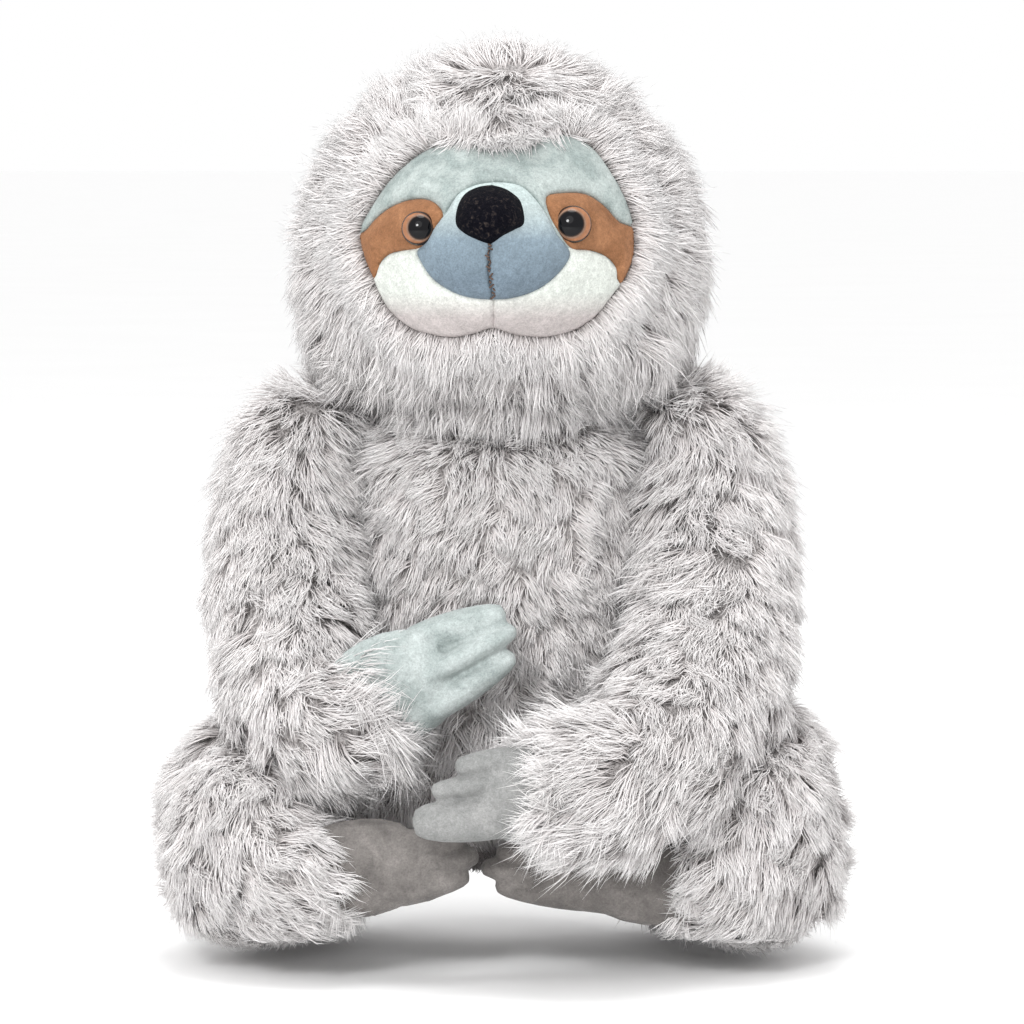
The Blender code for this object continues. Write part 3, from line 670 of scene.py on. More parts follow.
def face_net():
    """The face as triangles that keep to all its seams."""
    low, high = face_line.min(axis=0), face_line.max(axis=0)
    columns = np.arange(low[0], high[0], PANEL_GRID)
    rows = np.arange(low[1], high[1], PANEL_GRID * ROW_SHARE)
    grid = np.array([
        (x + (PANEL_GRID / 2.0 if i % 2 else 0.0), y) for i, y in enumerate(rows) for x in columns
    ])
    seam = np.vstack([seam_steps(*ends) for ends in zip(SEAM_PIXELS, SEAM_PIXELS[1:])])
    patch_cheek = [evenly(line, PANEL_GRID) for line in cheek_lines.values()]
    lines = [face_line, muzzle_line, *patch_lines.values(), *patch_cheek]
    distance = np.min([edge_distance(line, grid) for line in lines], axis=0)
    grid = grid[within(face_line, grid) & (distance > PANEL_GRID * GRID_ROOM)]
    far = np.min(np.linalg.norm(grid[:, None, :] - seam[None, :, :], axis=2), axis=1)
    grid = grid[far > PANEL_GRID * GRID_ROOM]
    edges = []
    start = 0
    for line in lines:
        count = len(line)
        edges += [(start + i, start + (i + 1) % count) for i in range(count)]
        start += count
    edges += [(start + i, start + i + 1) for i in range(len(seam) - 1)]
    points = [Vector(p) for part in (*lines, seam, grid) for p in part]
    verts, _, faces, *_ = delaunay_2d_cdt(points, edges, [], 0, MERGE_REACH)
    verts = np.array([tuple(v) for v in verts])
    tris = np.array([f for f in faces if len(f) == 3])
    return verts, tris[within(face_line, verts[tris].mean(axis=1))]


def panel_owners(middles):
    """The panel that each point of the face belongs to."""
    seam_x = np.interp(middles[:, 1], [p[1] for p in SEAM_PIXELS], [p[0] for p in SEAM_PIXELS])
    owner = np.full(len(middles), "forehead", dtype=object)
    for word in SIDES:
        owner[within(cheek_lines[word], middles)] = f"cheek_{word}"
        owner[within(patch_lines[word], middles)] = f"eye_patch_{word}"
    in_muzzle = within(muzzle_line, middles)
    owner[in_muzzle] = np.where(middles[in_muzzle, 0] < seam_x[in_muzzle], "muzzle_right", "muzzle_left")
    return owner


def make_panel(name, verts, tris, finish, node):
    """One velour panel: crowned between its seams, with a back and sides."""
    used, inverse = np.unique(tris, return_inverse=True)
    tris = inverse.reshape(-1, 3)
    flat = verts[used]
    edges = np.sort(np.vstack((tris[:, (0, 1)], tris[:, (1, 2)], tris[:, (2, 0)])), axis=1)
    pairs, counts = np.unique(edges, axis=0, return_counts=True)
    rim = set(map(tuple, pairs[counts == 1]))
    reach = distance_to([(flat[a], flat[b]) for a, b in rim], flat)
    lift = PANEL_PUFF * rising(reach, 0.0, PUFF_WIDTH) - SEAM_DEPTH * falling(reach, 0.0, SEAM_WIDTH)
    base = face_points(flat, FACE_RECESS)
    back = face_points(flat, FACE_RECESS + PANEL_THICKNESS)
    front = base + unit(base - HEAD_MIDDLE) * lift[:, None]
    count = len(flat)
    orient = np.cross(flat[tris[:, 1]] - flat[tris[:, 0]], flat[tris[:, 2]] - flat[tris[:, 0]])
    tris = np.where((orient > 0.0)[:, None], tris[:, ::-1], tris)
    faces = [tuple(int(i) for i in t) for t in tris]
    faces += [tuple(int(i) + count for i in t[::-1]) for t in tris]
    for t in tris:
        for a, b in ((t[0], t[1]), (t[1], t[2]), (t[2], t[0])):
            if (min(a, b), max(a, b)) in rim:
                faces.append((int(b), int(a), int(a) + count, int(b) + count))
    made = mesh_object(name, np.vstack((front, back)), faces, finish)
    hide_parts(node)
    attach(made, "head")
    return made


def make_face(finishes):
    verts, tris = face_net()
    owner = panel_owners(verts[tris].mean(axis=1))
    for panel in sorted(set(owner)):
        slot = PANEL_SLOTS[panel.rsplit("_", 1)[0]]
        node = "forehead_panel" if panel == "forehead" else panel
        made = make_panel(f"velour_{panel}", verts, tris[owner == panel], finishes[slot], node)


# Nose, mouth and eyes

NOSE_RINGS = 16
NOSE_SPACING = 1.6
NOSE_DEPTH = 0.0105
NOSE_SINK = 0.0015
NOSE_BACK = 0.003
NOSE_TILT = 0.10
NOSE_FULLNESS = 2.6
NOSE_ROUNDNESS = 0.62
STITCHES = 15
STITCH_MARGIN = 2.0
STITCH_SHARES = (-1.0, -0.5, 0.0, 0.5, 1.0)
STITCH_RISES = (-0.0012, 0.0001, 0.0004, 0.0001, -0.0012)
THREAD_RADIUS = 0.00036
THREAD_SIDES = 6
THREAD_END = 0.6
THREAD_GUIDE = (0.31, 0.12, 0.94)
EYE_SIDES = 48
EYE_ARC = 14
EYE_PROBE = 4.0
EYE_CROWN = 0.0050
EYE_RISE = 0.0008
EYE_AHEAD = 0.75
EYE_DEPTH = 0.0046
ROLLED_RIM = ((0.99, -0.0034), (0.92, -EYE_DEPTH))
PUPIL_SHIFT = 0.17
PUPIL_LIFT = 0.0030
STEM_RADIUS = 0.0018
STEM_LENGTH = 0.0080


def make_nose(finish):
    line = evenly(rounded(NOSE_OUTLINE), NOSE_SPACING)
    count = len(line)
    middle = np.array(NOSE_MIDDLE)
    seat = FACE_RECESS + NOSE_SINK
    verts = []
    for share in np.sin(np.linspace(0.0, math.pi / 2.0, NOSE_RINGS + 1))[:0:-1]:
        lift = NOSE_DEPTH * (1.0 - share**NOSE_FULLNESS) ** NOSE_ROUNDNESS
        base = face_points(middle + (line - middle) * share, seat)
        verts.append(base + np.array((0.0, -lift, NOSE_TILT * lift)))
    verts.append(face_points(middle, seat) + np.array((0.0, -NOSE_DEPTH, NOSE_TILT * NOSE_DEPTH)))
    verts += [face_points(pixels, seat + NOSE_BACK) for pixels in (line, middle)]
    tip = NOSE_RINGS * count
    back = tip + 1
    faces = ring_faces(0, NOSE_RINGS, count, inward=True) + fan(tip - count, count, tip)
    for i in range(count):
        j = (i + 1) % count
        faces.append((i, j, back + j, back + i))
    faces += fan(back, count, back + count)
    made = mesh_object("plush_nose", np.vstack(verts), faces, finish)
    face_out(made)
    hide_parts("nose")
    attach(made, "head")


def add_thread(verts, faces, path):
    """Adds a round closed thread along a short path."""
    first = len(verts)
    for k, (spot, way) in enumerate(zip(path, unit(np.gradient(path, axis=0)))):
        one = unit(np.cross(way, THREAD_GUIDE))
        two = np.cross(way, one)
        size = THREAD_RADIUS * (THREAD_END if k in (0, len(path) - 1) else 1.0)
        verts += [spot + size * (math.cos(a) * one + math.sin(a) * two) for a in turns(THREAD_SIDES)]
    faces += ring_faces(first, len(path), THREAD_SIDES)
    faces.append(tuple(range(first + THREAD_SIDES - 1, first - 1, -1)))
    faces.append(tuple(range(len(verts) - THREAD_SIDES, len(verts))))


def make_mouth(finish):
    """Hand stitches over the muzzle's centre seam, from the nose to the lip."""
    ys = np.linspace(STITCH_LINE[0][1] + STITCH_MARGIN, STITCH_LINE[-1][1] - STITCH_MARGIN, STITCHES)
    xs = np.interp(ys, [p[1] for p in STITCH_LINE], [p[0] for p in STITCH_LINE])
    verts = []
    faces = []
    for i, (x, y) in enumerate(zip(xs, ys)):
        lean = 2.6 * math.sin(i * 2.1 + 0.6)
        size = 2.0 + 1.4 * math.sin(i * 2.4)
        x += 1.3 * math.sin(i * 1.7)
        base = face_points([(x + size * share, y + lean * share) for share in STITCH_SHARES], FACE_RECESS)
        add_thread(verts, faces, base + unit(base - HEAD_MIDDLE) * np.array(STITCH_RISES)[:, None])
    made = mesh_object("mouth_stitches", verts, faces, finish)
    face_out(made)
    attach(made, "head")


def make_eye(word):
    """A glossy dome with a rolled rim, on its stem."""
    pixel = np.array(EYE_PIXELS[word])
    steps = np.array(((0.0, 0.0), (1.0, 0.0), (-1.0, 0.0), (0.0, 1.0), (0.0, -1.0)))
    spots = face_points(pixel + EYE_PROBE * steps, FACE_RECESS)
    seat = Vector(spots[0])
    outward = Vector(np.cross(spots[1] - spots[2], spots[3] - spots[4])).normalized()
    if outward.y > 0.0:
        outward = -outward
    seat += outward * EYE_RISE
    outward = outward.lerp((CAMERA_SPOT - seat).normalized(), EYE_AHEAD).normalized()
    radius = EYE_RADIUS[word]
    profile = [
        (radius * math.sin(a), EYE_CROWN * math.cos(a)) for a in np.linspace(0.0, math.pi / 2.0, EYE_ARC)[1:]
    ]
    profile += [(radius * share, height) for share, height in ROLLED_RIM]
    profile += [(STEM_RADIUS, -EYE_DEPTH), (STEM_RADIUS, -STEM_LENGTH)]
    one = outward.cross(UP).normalized()
    two = outward.cross(one)
    verts = [seat + outward * EYE_CROWN]
    for r, h in profile:
        verts += [
            seat + outward * h + one * r * math.cos(a) + two * r * math.sin(a) for a in turns(EYE_SIDES)
        ]
    last = len(verts)
    verts.append(seat - outward * STEM_LENGTH)
    faces = fan(1, EYE_SIDES, 0) + ring_faces(1, len(profile), EYE_SIDES, inward=True)
    faces += fan(last - EYE_SIDES, EYE_SIDES, last)
    toward_nose = Vector((-SIDES[word], 0.0, 0.0))
    pupil = seat + toward_nose * PUPIL_SHIFT * radius + outward * PUPIL_LIFT
    finish = eye_material(f"eye_gloss_{word}", seat, pupil, radius)
    made = mesh_object(f"eye_dome_{word}", verts, faces, finish)
    face_out(made)
    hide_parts(f"eye_{word}")
    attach(made, "head")


# Mittens

MITTEN_VOXEL = 0.0009
MITTEN_ROUNDS = 2
LOBE_RINGS = 9
LOBE_SIDES = 14
LOBE_FULLNESS = 0.55
MM = 1000.0

# Where each mitten starts, and how many degrees it points up
WRISTS = {
    ("hand", "right"): ((-0.04445, -0.04801, 0.10517), 22.0),
    ("hand", "left"): ((0.02071, -0.08097, 0.07571), -13.0),
    ("foot", "right"): ((-0.05682, -0.05857, 0.04038), 9.0),
    ("foot", "left"): ((0.06557, -0.05071, 0.03571), 6.0),
}

# Lobes of a mitten in millimetres from the wrist: start along, across and towards the
# back of the hand, end the same, half width, half thickness
HAND_LOBES = {
    "right": (
        (-8.0, 1.0, 0.0, 6.0, 0.0, 0.0, 13.0, 8.0),
        (4.0, 1.0, 0.0, 7.0, 1.0, 0.0, 21.0, 8.4),
        (21.0, 14.4, -3.6, 48.5, 11.6, -2.6, 6.4, 7.0),
        (22.0, 7.0, -4.6, 44.0, 7.0, -4.0, 6.0, 5.0),
        (19.0, 0.4, 1.0, 51.5, 4.0, 0.2, 4.9, 9.0),
        (15.0, -12.4, 0.2, 46.5, -5.4, -0.6, 5.8, 8.4),
    ),
    "left": (
        (-6.0, 0.0, 0.0, 6.0, 0.5, 0.0, 12.5, 8.0),
        (6.0, 0.8, -0.8, 11.0, 0.0, -0.8, 17.5, 8.6),
        (20.0, -6.5, -0.6, 46.0, -2.2, -0.4, 8.4, 8.2),
        (18.0, 6.6, 0.8, 41.0, 8.4, 0.8, 4.1, 7.8),
        (12.0, 14.0, 1.6, 30.0, 14.8, 1.6, 4.7, 7.4),
    ),
}
FOOT_LOBES = {
    "right": (
        (-2.0, 1.5, 0.0, 10.0, 1.5, 0.0, 18.5, 10.0),
        (8.0, 0.0, 0.0, 28.0, -1.0, 0.0, 14.5, 9.5),
        (20.0, 6.6, 0.0, 41.0, 5.8, 0.0, 5.2, 8.0),
        (22.0, -1.6, 0.0, 44.5, -0.6, 0.0, 5.2, 9.0),
        (20.0, -9.8, 0.0, 40.0, -7.4, 0.0, 5.2, 8.0),
    ),
    "left": (
        (-2.0, 0.0, 0.0, 16.0, -1.0, 0.0, 16.0, 10.0),
        (10.0, -2.0, 0.0, 50.0, -1.0, 0.0, 12.5, 9.2),
        (30.0, 6.0, 0.0, 63.0, 5.0, 0.0, 5.2, 7.6),
        (32.0, -1.8, 0.0, 68.0, -1.2, 0.0, 5.2, 8.6),
        (30.0, -9.4, 0.0, 62.0, -7.4, 0.0, 5.2, 7.6),
    ),
}


def lobe(start, end, through, half_width, half_thickness):
    """A rounded pad from start to end, as vertices and faces."""
    way = (end - start).normalized()
    sideways = through.cross(way).normalized()
    straight = way.cross(sideways).normalized()
    length = (end - start).length
    verts = [start - way * half_width]
    for k in range(1, LOBE_RINGS):
        angle = math.pi * k / LOBE_RINGS
        place = -math.cos(angle)
        middle = start + way * (length * (place + 1.0) / 2.0 + place * half_width)
        size = math.sin(angle) ** LOBE_FULLNESS
        verts += [
            middle + sideways * half_width * size * math.cos(a)
            + straight * half_thickness * size * math.sin(a) for a in turns(LOBE_SIDES)
        ]
    last = len(verts)
    verts.append(end + way * half_width)
    faces = [face[::-1] for face in fan(1, LOBE_SIDES, 0)]
    faces += ring_faces(1, LOBE_RINGS - 1, LOBE_SIDES) + fan(last - LOBE_SIDES, LOBE_SIDES, last)
    return verts, faces


def make_mitten(kind, word, finish):
    """A velour mitten with its fingers, rounded together from padded lobes."""
    spot, rise = WRISTS[kind, word]
    rise = math.radians(rise)
    side = SIDES[word]
    way = Vector((-side * math.cos(rise), 0.0, math.sin(rise)))
    across = Vector((side * math.sin(rise), 0.0, math.cos(rise)))
    through = way.cross(across)
    verts = []
    faces = []
    for *ends, wide, thick in (HAND_LOBES if kind == "hand" else FOOT_LOBES)[word]:
        start, end = (
            Vector(spot) + (way * s + across * c + through * h) / MM for s, c, h in (ends[:3], ends[3:])
        )
        first = len(verts)
        more, shell = lobe(start, end, through, wide / MM, thick / MM)
        verts += more
        faces += [tuple(first + i for i in face) for face in shell]
    made = mesh_object(f"velour_{kind}_{word}", verts, faces, finish)
    rounded_off(made, MITTEN_VOXEL, MITTEN_ROUNDS)
    made.data.shade_smooth()
    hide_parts(f"{kind}_cover_{word}", f"{kind}_stuffing_{word}")
    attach(made, f"{kind}_{word}")


# Skins under the fur

SKIN_VOXEL = 0.003
SKIN_ROUNDS = 6
SKIN_GROWTH = 0.0045
SIDE_SEAM = 0.056
SIDE_BAND = 0.012
FLOOR_CLEARANCE = 0.0004
LEG_RISE = 0.015
LEG_FRONT = (0.005, 0.055)
SEAM_ROOM = 0.0006
FACE_MARGIN = 4.0
CHEST_FRONT = -0.0235
NECK_CUP = 0.0688
SHOULDER_SLOPE = ((0.170, 0.175, 0.198, 0.2155), (0.200, 0.1075, 0.0967, 0.0790))
SHOULDER_HEIGHTS = (0.186, 0.206)
SHOULDER_SPAN = (0.070, 0.084)
SHOULDER_PULL = 0.6


def ground(y):
    """The height of the lowest fur: the legs' fronts stand a little off the floor."""
    return FLOOR_CLEARANCE + LEG_RISE * rising(-y, *LEG_FRONT)


def limb_held_in(body, spots):
    """Keeps a limb's skin beside the torso, in front of the chest and off the floor."""
    side = side_of(body)
    seam = SIDE_SEAM + SEAM_ROOM
    behind = (spots[:, 1] > CHEST_FRONT) & (side * spots[:, 0] < seam)
    aside = behind & (side * spots[:, 0] > SIDE_SEAM - SIDE_BAND)
    spots[aside, 0] = side * seam
    spots[behind & ~aside, 1] = CHEST_FRONT
    spots[:, 2] = np.maximum(spots[:, 2], SEAM_ROOM + ground(spots[:, 1]))
    if body.startswith("arm"):
        high = rising(spots[:, 2], *SHOULDER_HEIGHTS) * falling(side * spots[:, 0], *SHOULDER_SPAN)
        spots[:, 0] = side * (seam + (side * spots[:, 0] - seam) * (1.0 - SHOULDER_PULL * high))
        spots[:, 0] = side * np.minimum(side * spots[:, 0], np.interp(spots[:, 2], *SHOULDER_SLOPE))


def held_in(body, spots):
    """Keeps a skin clear of the skins that it meets, so that they touch without crossing."""
    from_head = spots - HEAD_MIDDLE
    reach = np.linalg.norm(from_head, axis=1)

    def set_reach(chosen, limit):
        spots[chosen] = HEAD_MIDDLE + from_head[chosen] * (limit / reach)[chosen, None]

    if body == "torso":
        spots[:, 0] = np.clip(spots[:, 0], -SIDE_SEAM + SEAM_ROOM, SIDE_SEAM - SEAM_ROOM)
        set_reach(reach < NECK_CUP, NECK_CUP)
    elif body == "head":
        ways = from_head / reach[:, None]
        pixels = pixel_of(spots)
        face = (spots[:, 1] < HEAD_MIDDLE[1]) & (
            within(face_line, pixels) | (edge_distance(face_line, pixels) < FACE_MARGIN)
        )
        depth = head_reach(ways) - FACE_RECESS - PANEL_THICKNESS - SEAM_ROOM
        set_reach(face & (reach > depth), depth)
        limit = SEAT_RADIUS - SEAM_ROOM
        set_reach((tilt_of(ways) < SEAT_ANGLE) & (reach > limit), limit)
    else:
        limb_held_in(body, spots)
    return spots


def make_skin(name, node, finish, body=None):
    """The backing of the fur: the stuffing's form, rounded off and grown into the pile."""
    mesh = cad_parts[node].data
    faces = [tuple(polygon.vertices) for polygon in mesh.polygons]
    made = mesh_object(name, [vertex.co for vertex in mesh.vertices], faces, finish)
    rounded_off(made, SKIN_VOXEL, SKIN_ROUNDS)
    if body:
        spots, ways, _ = read_mesh(made.data)
        spots = held_in(body, spots + ways * SKIN_GROWTH)
        made.data.vertices.foreach_set("co", spots.reshape(-1).astype(np.float32))
        made.data.update()
        settle(made, SMOOTH={"factor": 0.5, "iterations": 1})
    made.data.shade_smooth()
    return made


# Fur

STRAND_PLACES = (0.0, 0.35, 0.7, 1.0)
STRAND_HALF = (0.00028, 0.00026, 0.00016)
STRAND_TIP = 9
FACES_A_PIECE = 196000
FACES_A_STRAND = 16
NEIGHBOUR_REACH = 0.006
RAY_START = 0.0002
CLUMP_SPACING = 0.0038
LOCK_SPACING = 0.0095
SPREAD_TRIES = 6.0
CELL_SHARE = 0.92
ROOT_SINK = 0.0012
WAVE_TURNS = 1.5
TIGHT = 0.05
SWIRL_SIZE = 0.016
TURN_SPREAD = 0.14
LENGTH_RANGE = (0.84, 1.14)
STRAY_LENGTH = 1.15
STRAY_LIFT = 0.22
LEAN_SPREADS = (6.0, 7.0)
FRAY = 0.05
TONE_SPREAD = 0.11
TONE_RANGE = (0.03, 0.97)
CORNER_TONE = 0.012

# How the fur lies: strands in a clump, its radius, how far it gathers into its tip and
# into its lock, how much strands droop, stray and wave, their lean from upright in
# degrees at root and tip, and how much locks turn and lift
LOOK = {
    "strands": 12, "radius": 0.0026, "gather": 0.52, "lock": 0.44, "droop": 0.06, "wild": 0.06,
    "wave": 0.075, "lean": (52.0, 83.0), "tousle": 0.34, "ruffle": 9.0,
}
LOOKS = {"torso": {"tousle": 0.36}, "head": {"tousle": 0.26, "ruffle": 8.0}}


def spread(skin, spacing):
    """Points spread over a skin, with their normals."""
    verts, normals, tris = read_mesh(skin.data)
    a, b, c = (verts[tris[:, k]] for k in range(3))
    areas = np.linalg.norm(np.cross(b - a, c - a), axis=1) / 2.0
    count = int(areas.sum() / spacing**2 * SPREAD_TRIES)
    picks = rng.choice(len(tris), size=count, p=areas / areas.sum())
    u = rng.random(count)
    v = rng.random(count)
    fold = u + v > 1.0
    u[fold] = 1.0 - u[fold]
    v[fold] = 1.0 - v[fold]
    w = 1.0 - u - v
    points, ways = (
        sum(rows[tris[picks, k]] * s[:, None] for k, s in enumerate((w, u, v))) for rows in (verts, normals)
    )
    cells = np.floor(points / (spacing * CELL_SHARE)).astype(int)
    _, keep = np.unique(cells, axis=0, return_index=True)
    keep = np.sort(keep)
    return points[keep], unit(ways)[keep]


def flattened(flow, normals):
    """The flow laid into the skin."""
    return unit(flow - normals * np.sum(flow * normals, axis=1, keepdims=True))


def spun(flow, normals, angles):
    """The flow turned in the skin by an angle at each point."""
    return flow * np.cos(angles)[..., None] + np.cross(normals, flow) * np.sin(angles)[..., None]


def strand_arrays(clumps, look):
    """Root to tip rings of all strands of these clumps, and each strand's tone."""
    shape = (len(clumps["roots"]), look["strands"])
    roots, normals, flow, pull = (clumps[key][:, None, :] for key in ("roots", "normals", "flow", "pull"))
    side = np.cross(normals, flow)
    around = rng.random(shape) * 2.0 * math.pi
    out = np.sqrt(rng.random(shape)) * look["radius"]
    way = spun(flow, normals, rng.normal(0.0, TURN_SPREAD, shape))
    offset = flow * (out * np.cos(around))[..., None] + side * (out * np.sin(around))[..., None]
    spot = roots + offset - normals * ROOT_SINK
    stray = rng.random(shape) < look["wild"]
    length = clumps["lengths"][:, None] * rng.uniform(*LENGTH_RANGE, shape)
    length = np.where(stray, length * STRAY_LENGTH, length)
    first, last = (
        np.radians(lean - clumps["lift"][:, None] + rng.normal(0.0, size, shape))
        for lean, size in zip(look["lean"], LEAN_SPREADS)
    )
    last = np.where(stray, last - STRAY_LIFT, last)
    spots = [spot]
    fray = unit(rng.normal(0.0, 1.0, (*shape, 3)))
    for low, high in zip(STRAND_PLACES, STRAND_PLACES[1:]):
        bend = first + (last - first) * ((low + high) / 2.0) ** 0.8
        step = np.cos(bend)[..., None] * normals + np.sin(bend)[..., None] * way
        spot = spot + step * (length * (high - low))[..., None]
        spots.append(spot)
    phase = clumps["phase"][:, None] + rng.normal(0.0, 0.25, shape)
    rings = []
    for place, spot in zip(STRAND_PLACES, spots):
        made = spot - offset * (look["gather"] * place**0.7 * ~stray)[..., None]
        made = made + pull * (look["lock"] * place**1.1 * ~stray)[..., None]
        made = made + fray * (FRAY * length * place**1.5)[..., None]
        made = made - np.array(UP) * (look["droop"] * length * place**2)[..., None]
        curl = np.sin(place * WAVE_TURNS * math.pi + phase) - np.sin(phase)
        made = made + side * (look["wave"] * length * place**0.5 * curl)[..., None]
        made[..., 2] = np.maximum(made[..., 2], ground(made[..., 1]))
        rings.append(made.reshape(-1, 3))
    tone = clumps["tones"][:, None] + rng.normal(0.0, TONE_SPREAD, shape)
    return rings, np.clip(tone, *TONE_RANGE).reshape(-1)


def strand_triangles(count):
    """Triangles of closed strands: three rings of three vertices and a tip each."""
    pattern = [(0, 2, 1)]
    for a, b, c, d in ring_faces(0, 3, 3):
        pattern += [(a, b, c), (a, c, d)]
    pattern = np.array(pattern + fan(STRAND_TIP - 3, 3, STRAND_TIP))
    return (pattern[None, :, :] + (np.arange(count) * (STRAND_TIP + 1))[:, None, None]).reshape(-1, 3)


def strand_mesh(name, rings, tone, finish):
    """Closed three-sided tapering strands as one mesh, laid out for the fur's material."""
    count = len(tone)
    ways = [unit(b - a) for a, b in zip(rings, rings[1:])]
    ways = [ways[0], unit(ways[0] + ways[1]), unit(ways[1] + ways[2])]
    guide = unit(rng.normal(0.0, 1.0, (count, 3)))
    verts = np.empty((count, STRAND_TIP + 1, 3))
    layout = np.empty((count, STRAND_TIP + 1, 2))
    for k in range(3):
        one = unit(np.cross(ways[k], guide))
        two = np.cross(ways[k], one)
        for i, angle in enumerate(turns(3)):
            verts[:, k * 3 + i] = rings[k] + STRAND_HALF[k] * (math.cos(angle) * one + math.sin(angle) * two)
            layout[:, k * 3 + i, 0] = tone + (i - 1) * CORNER_TONE
            layout[:, k * 3 + i, 1] = STRAND_PLACES[k]
    verts[:, STRAND_TIP] = rings[3]
    layout[:, STRAND_TIP, 0] = tone
    layout[:, STRAND_TIP, 1] = 1.0
    tris = strand_triangles(count)
    mesh = bpy.data.meshes.new(name)
    mesh.vertices.add(verts.size // 3)
    mesh.vertices.foreach_set("co", verts.reshape(-1).astype(np.float32))
    mesh.loops.add(tris.size)
    mesh.loops.foreach_set("vertex_index", tris.reshape(-1).astype(np.int32))
    mesh.polygons.add(len(tris))
    mesh.polygons.foreach_set("loop_start", (np.arange(len(tris)) * 3).astype(np.int32))
    mesh.update(calc_edges=True)
    mesh.shade_smooth()
    plan = mesh.uv_layers.new(name="OFBake")
    spots = np.clip(layout.reshape(-1, 2)[tris.reshape(-1)], 0.0, 1.0)
    plan.data.foreach_set("uv", spots.reshape(-1).astype(np.float32))
    mesh.materials.append(finish)
    return placed(name, mesh)


def in_locks(skin, points):
    """The nearest lock of each point: its number, the way to its middle, and how many there are."""
    middles, _ = spread(skin, LOCK_SPACING)
    tree = KDTree(len(middles))
    for i, spot in enumerate(middles):
        tree.insert(spot, i)
    tree.balance()
    nearest = np.array([tree.find(spot)[1] for spot in points])
    return nearest, middles[nearest] - points, len(middles)


def room_outside(points, normals, neighbours):
    """The share of a strand's reach that is free before another skin."""
    room = np.ones(len(points))
    for tree in neighbours:
        for i, (point, normal) in enumerate(zip(points, normals)):
            start = Vector(point) + Vector(normal) * RAY_START
            hit = tree.ray_cast(start, Vector(normal), NEIGHBOUR_REACH)
            if hit[0] is not None:
                room[i] = min(room[i], hit[3] / NEIGHBOUR_REACH)
    return room


def make_fur(body, skin, neighbours, finish, rules, extra=None):
    """Fur all over a skin, in as many pieces as the size limit asks for."""
    flow_of, length_of, stand_of, keep_of = rules
    look = {**LOOK, **LOOKS.get(body, {})}
    points, normals = spread(skin, CLUMP_SPACING)
    if keep_of:
        keep = keep_of(points)
        points, normals = points[keep], normals[keep]
    room = room_outside(points, normals, neighbours)
    keep = room > TIGHT
    points, normals, room = points[keep], normals[keep], room[keep]
    lock, pull, locks = in_locks(skin, points)
    turn = 0.50 * swirl(points, SWIRL_SIZE) + rng.normal(0.0, look["tousle"], locks)[lock]
    turn = turn + rng.normal(0.0, 0.12, len(points))
    edge = np.clip(np.linalg.norm(pull, axis=1) / LOCK_SPACING, 0.0, 1.0)
    lengths = length_of(points) * (1.0 + rng.normal(0.0, 0.09, locks)[lock]) * (1.0 - 0.22 * edge)
    lift = rng.normal(0.0, look["ruffle"], locks)[lock] + rng.normal(0.0, 3.0, len(points))
    clumps = {
        "roots": points, "normals": normals, "pull": pull,
        "flow": spun(flattened(flow_of(points, normals), normals), normals, turn),
        "lengths": lengths * (0.35 + 0.65 * room),
        "lift": stand_of(points) * room + lift * room - 8.0 * (1.0 - room),
        "tones": 0.52 + rng.normal(0.0, 0.10, locks)[lock] + rng.normal(0.0, 0.07, len(points)),
        "phase": rng.uniform(0.0, 2.0 * math.pi, locks)[lock] + rng.normal(0.0, 0.4, len(points)),
    }
    if extra:
        clumps = {key: np.concatenate((rows, extra[key])) for key, rows in clumps.items()}
    per_piece = FACES_A_PIECE // FACES_A_STRAND // look["strands"]
    pieces = max(1, math.ceil(len(clumps["roots"]) / per_piece))
    order = np.argsort(clumps["roots"][:, 2], kind="stable")
    for number, part in enumerate(np.array_split(order, pieces)):
        rings, tone = strand_arrays({key: rows[part] for key, rows in clumps.items()}, look)
        made = strand_mesh(f"{body}_fur_{number + 1}", rings, tone, finish)
        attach(made, body)


# How the head's and the torso's fur lies

EDGE_SPACING = 2.8
# Rows of clumps round the face: pixels outside its outline, and lift in degrees
EDGE_ROWS = ((0.5, 26.0), (2.5, 22.0), (5.5, 16.0), (9.0, 10.0))
EDGE_LENGTHS = (0.009, 0.014)
FACE_PIXEL = (497.0, 245.0)
PARTING_PIXEL = (506.0, 170.0)
PARTING_HALF = 26.0
PARTING_FLOW = (0.12, -0.4, -1.0)
FRINGE_X = 0.004
FRINGE_HEIGHTS = (0.306, 0.336)
FRINGE_HALVES = (0.020, 0.030)
FRINGE_START = (0.301, 0.307)
FRINGE_END = (0.331, 0.341)
FRINGE_DEPTHS = (0.020, 0.036)
FRINGE_FLOW = (0.10, -0.45, -0.8)
TOUSLE_HEIGHTS = (0.314, 0.324)
TOUSLE_SIZE = 0.0040
FLOW_HEIGHT = 0.272
CROWN = (0.004, 0.030, 0.348)
CROWN_REACH = (0.008, 0.022)
HEAD_LENGTH = 0.0170
TORSO_LENGTH = 0.0140


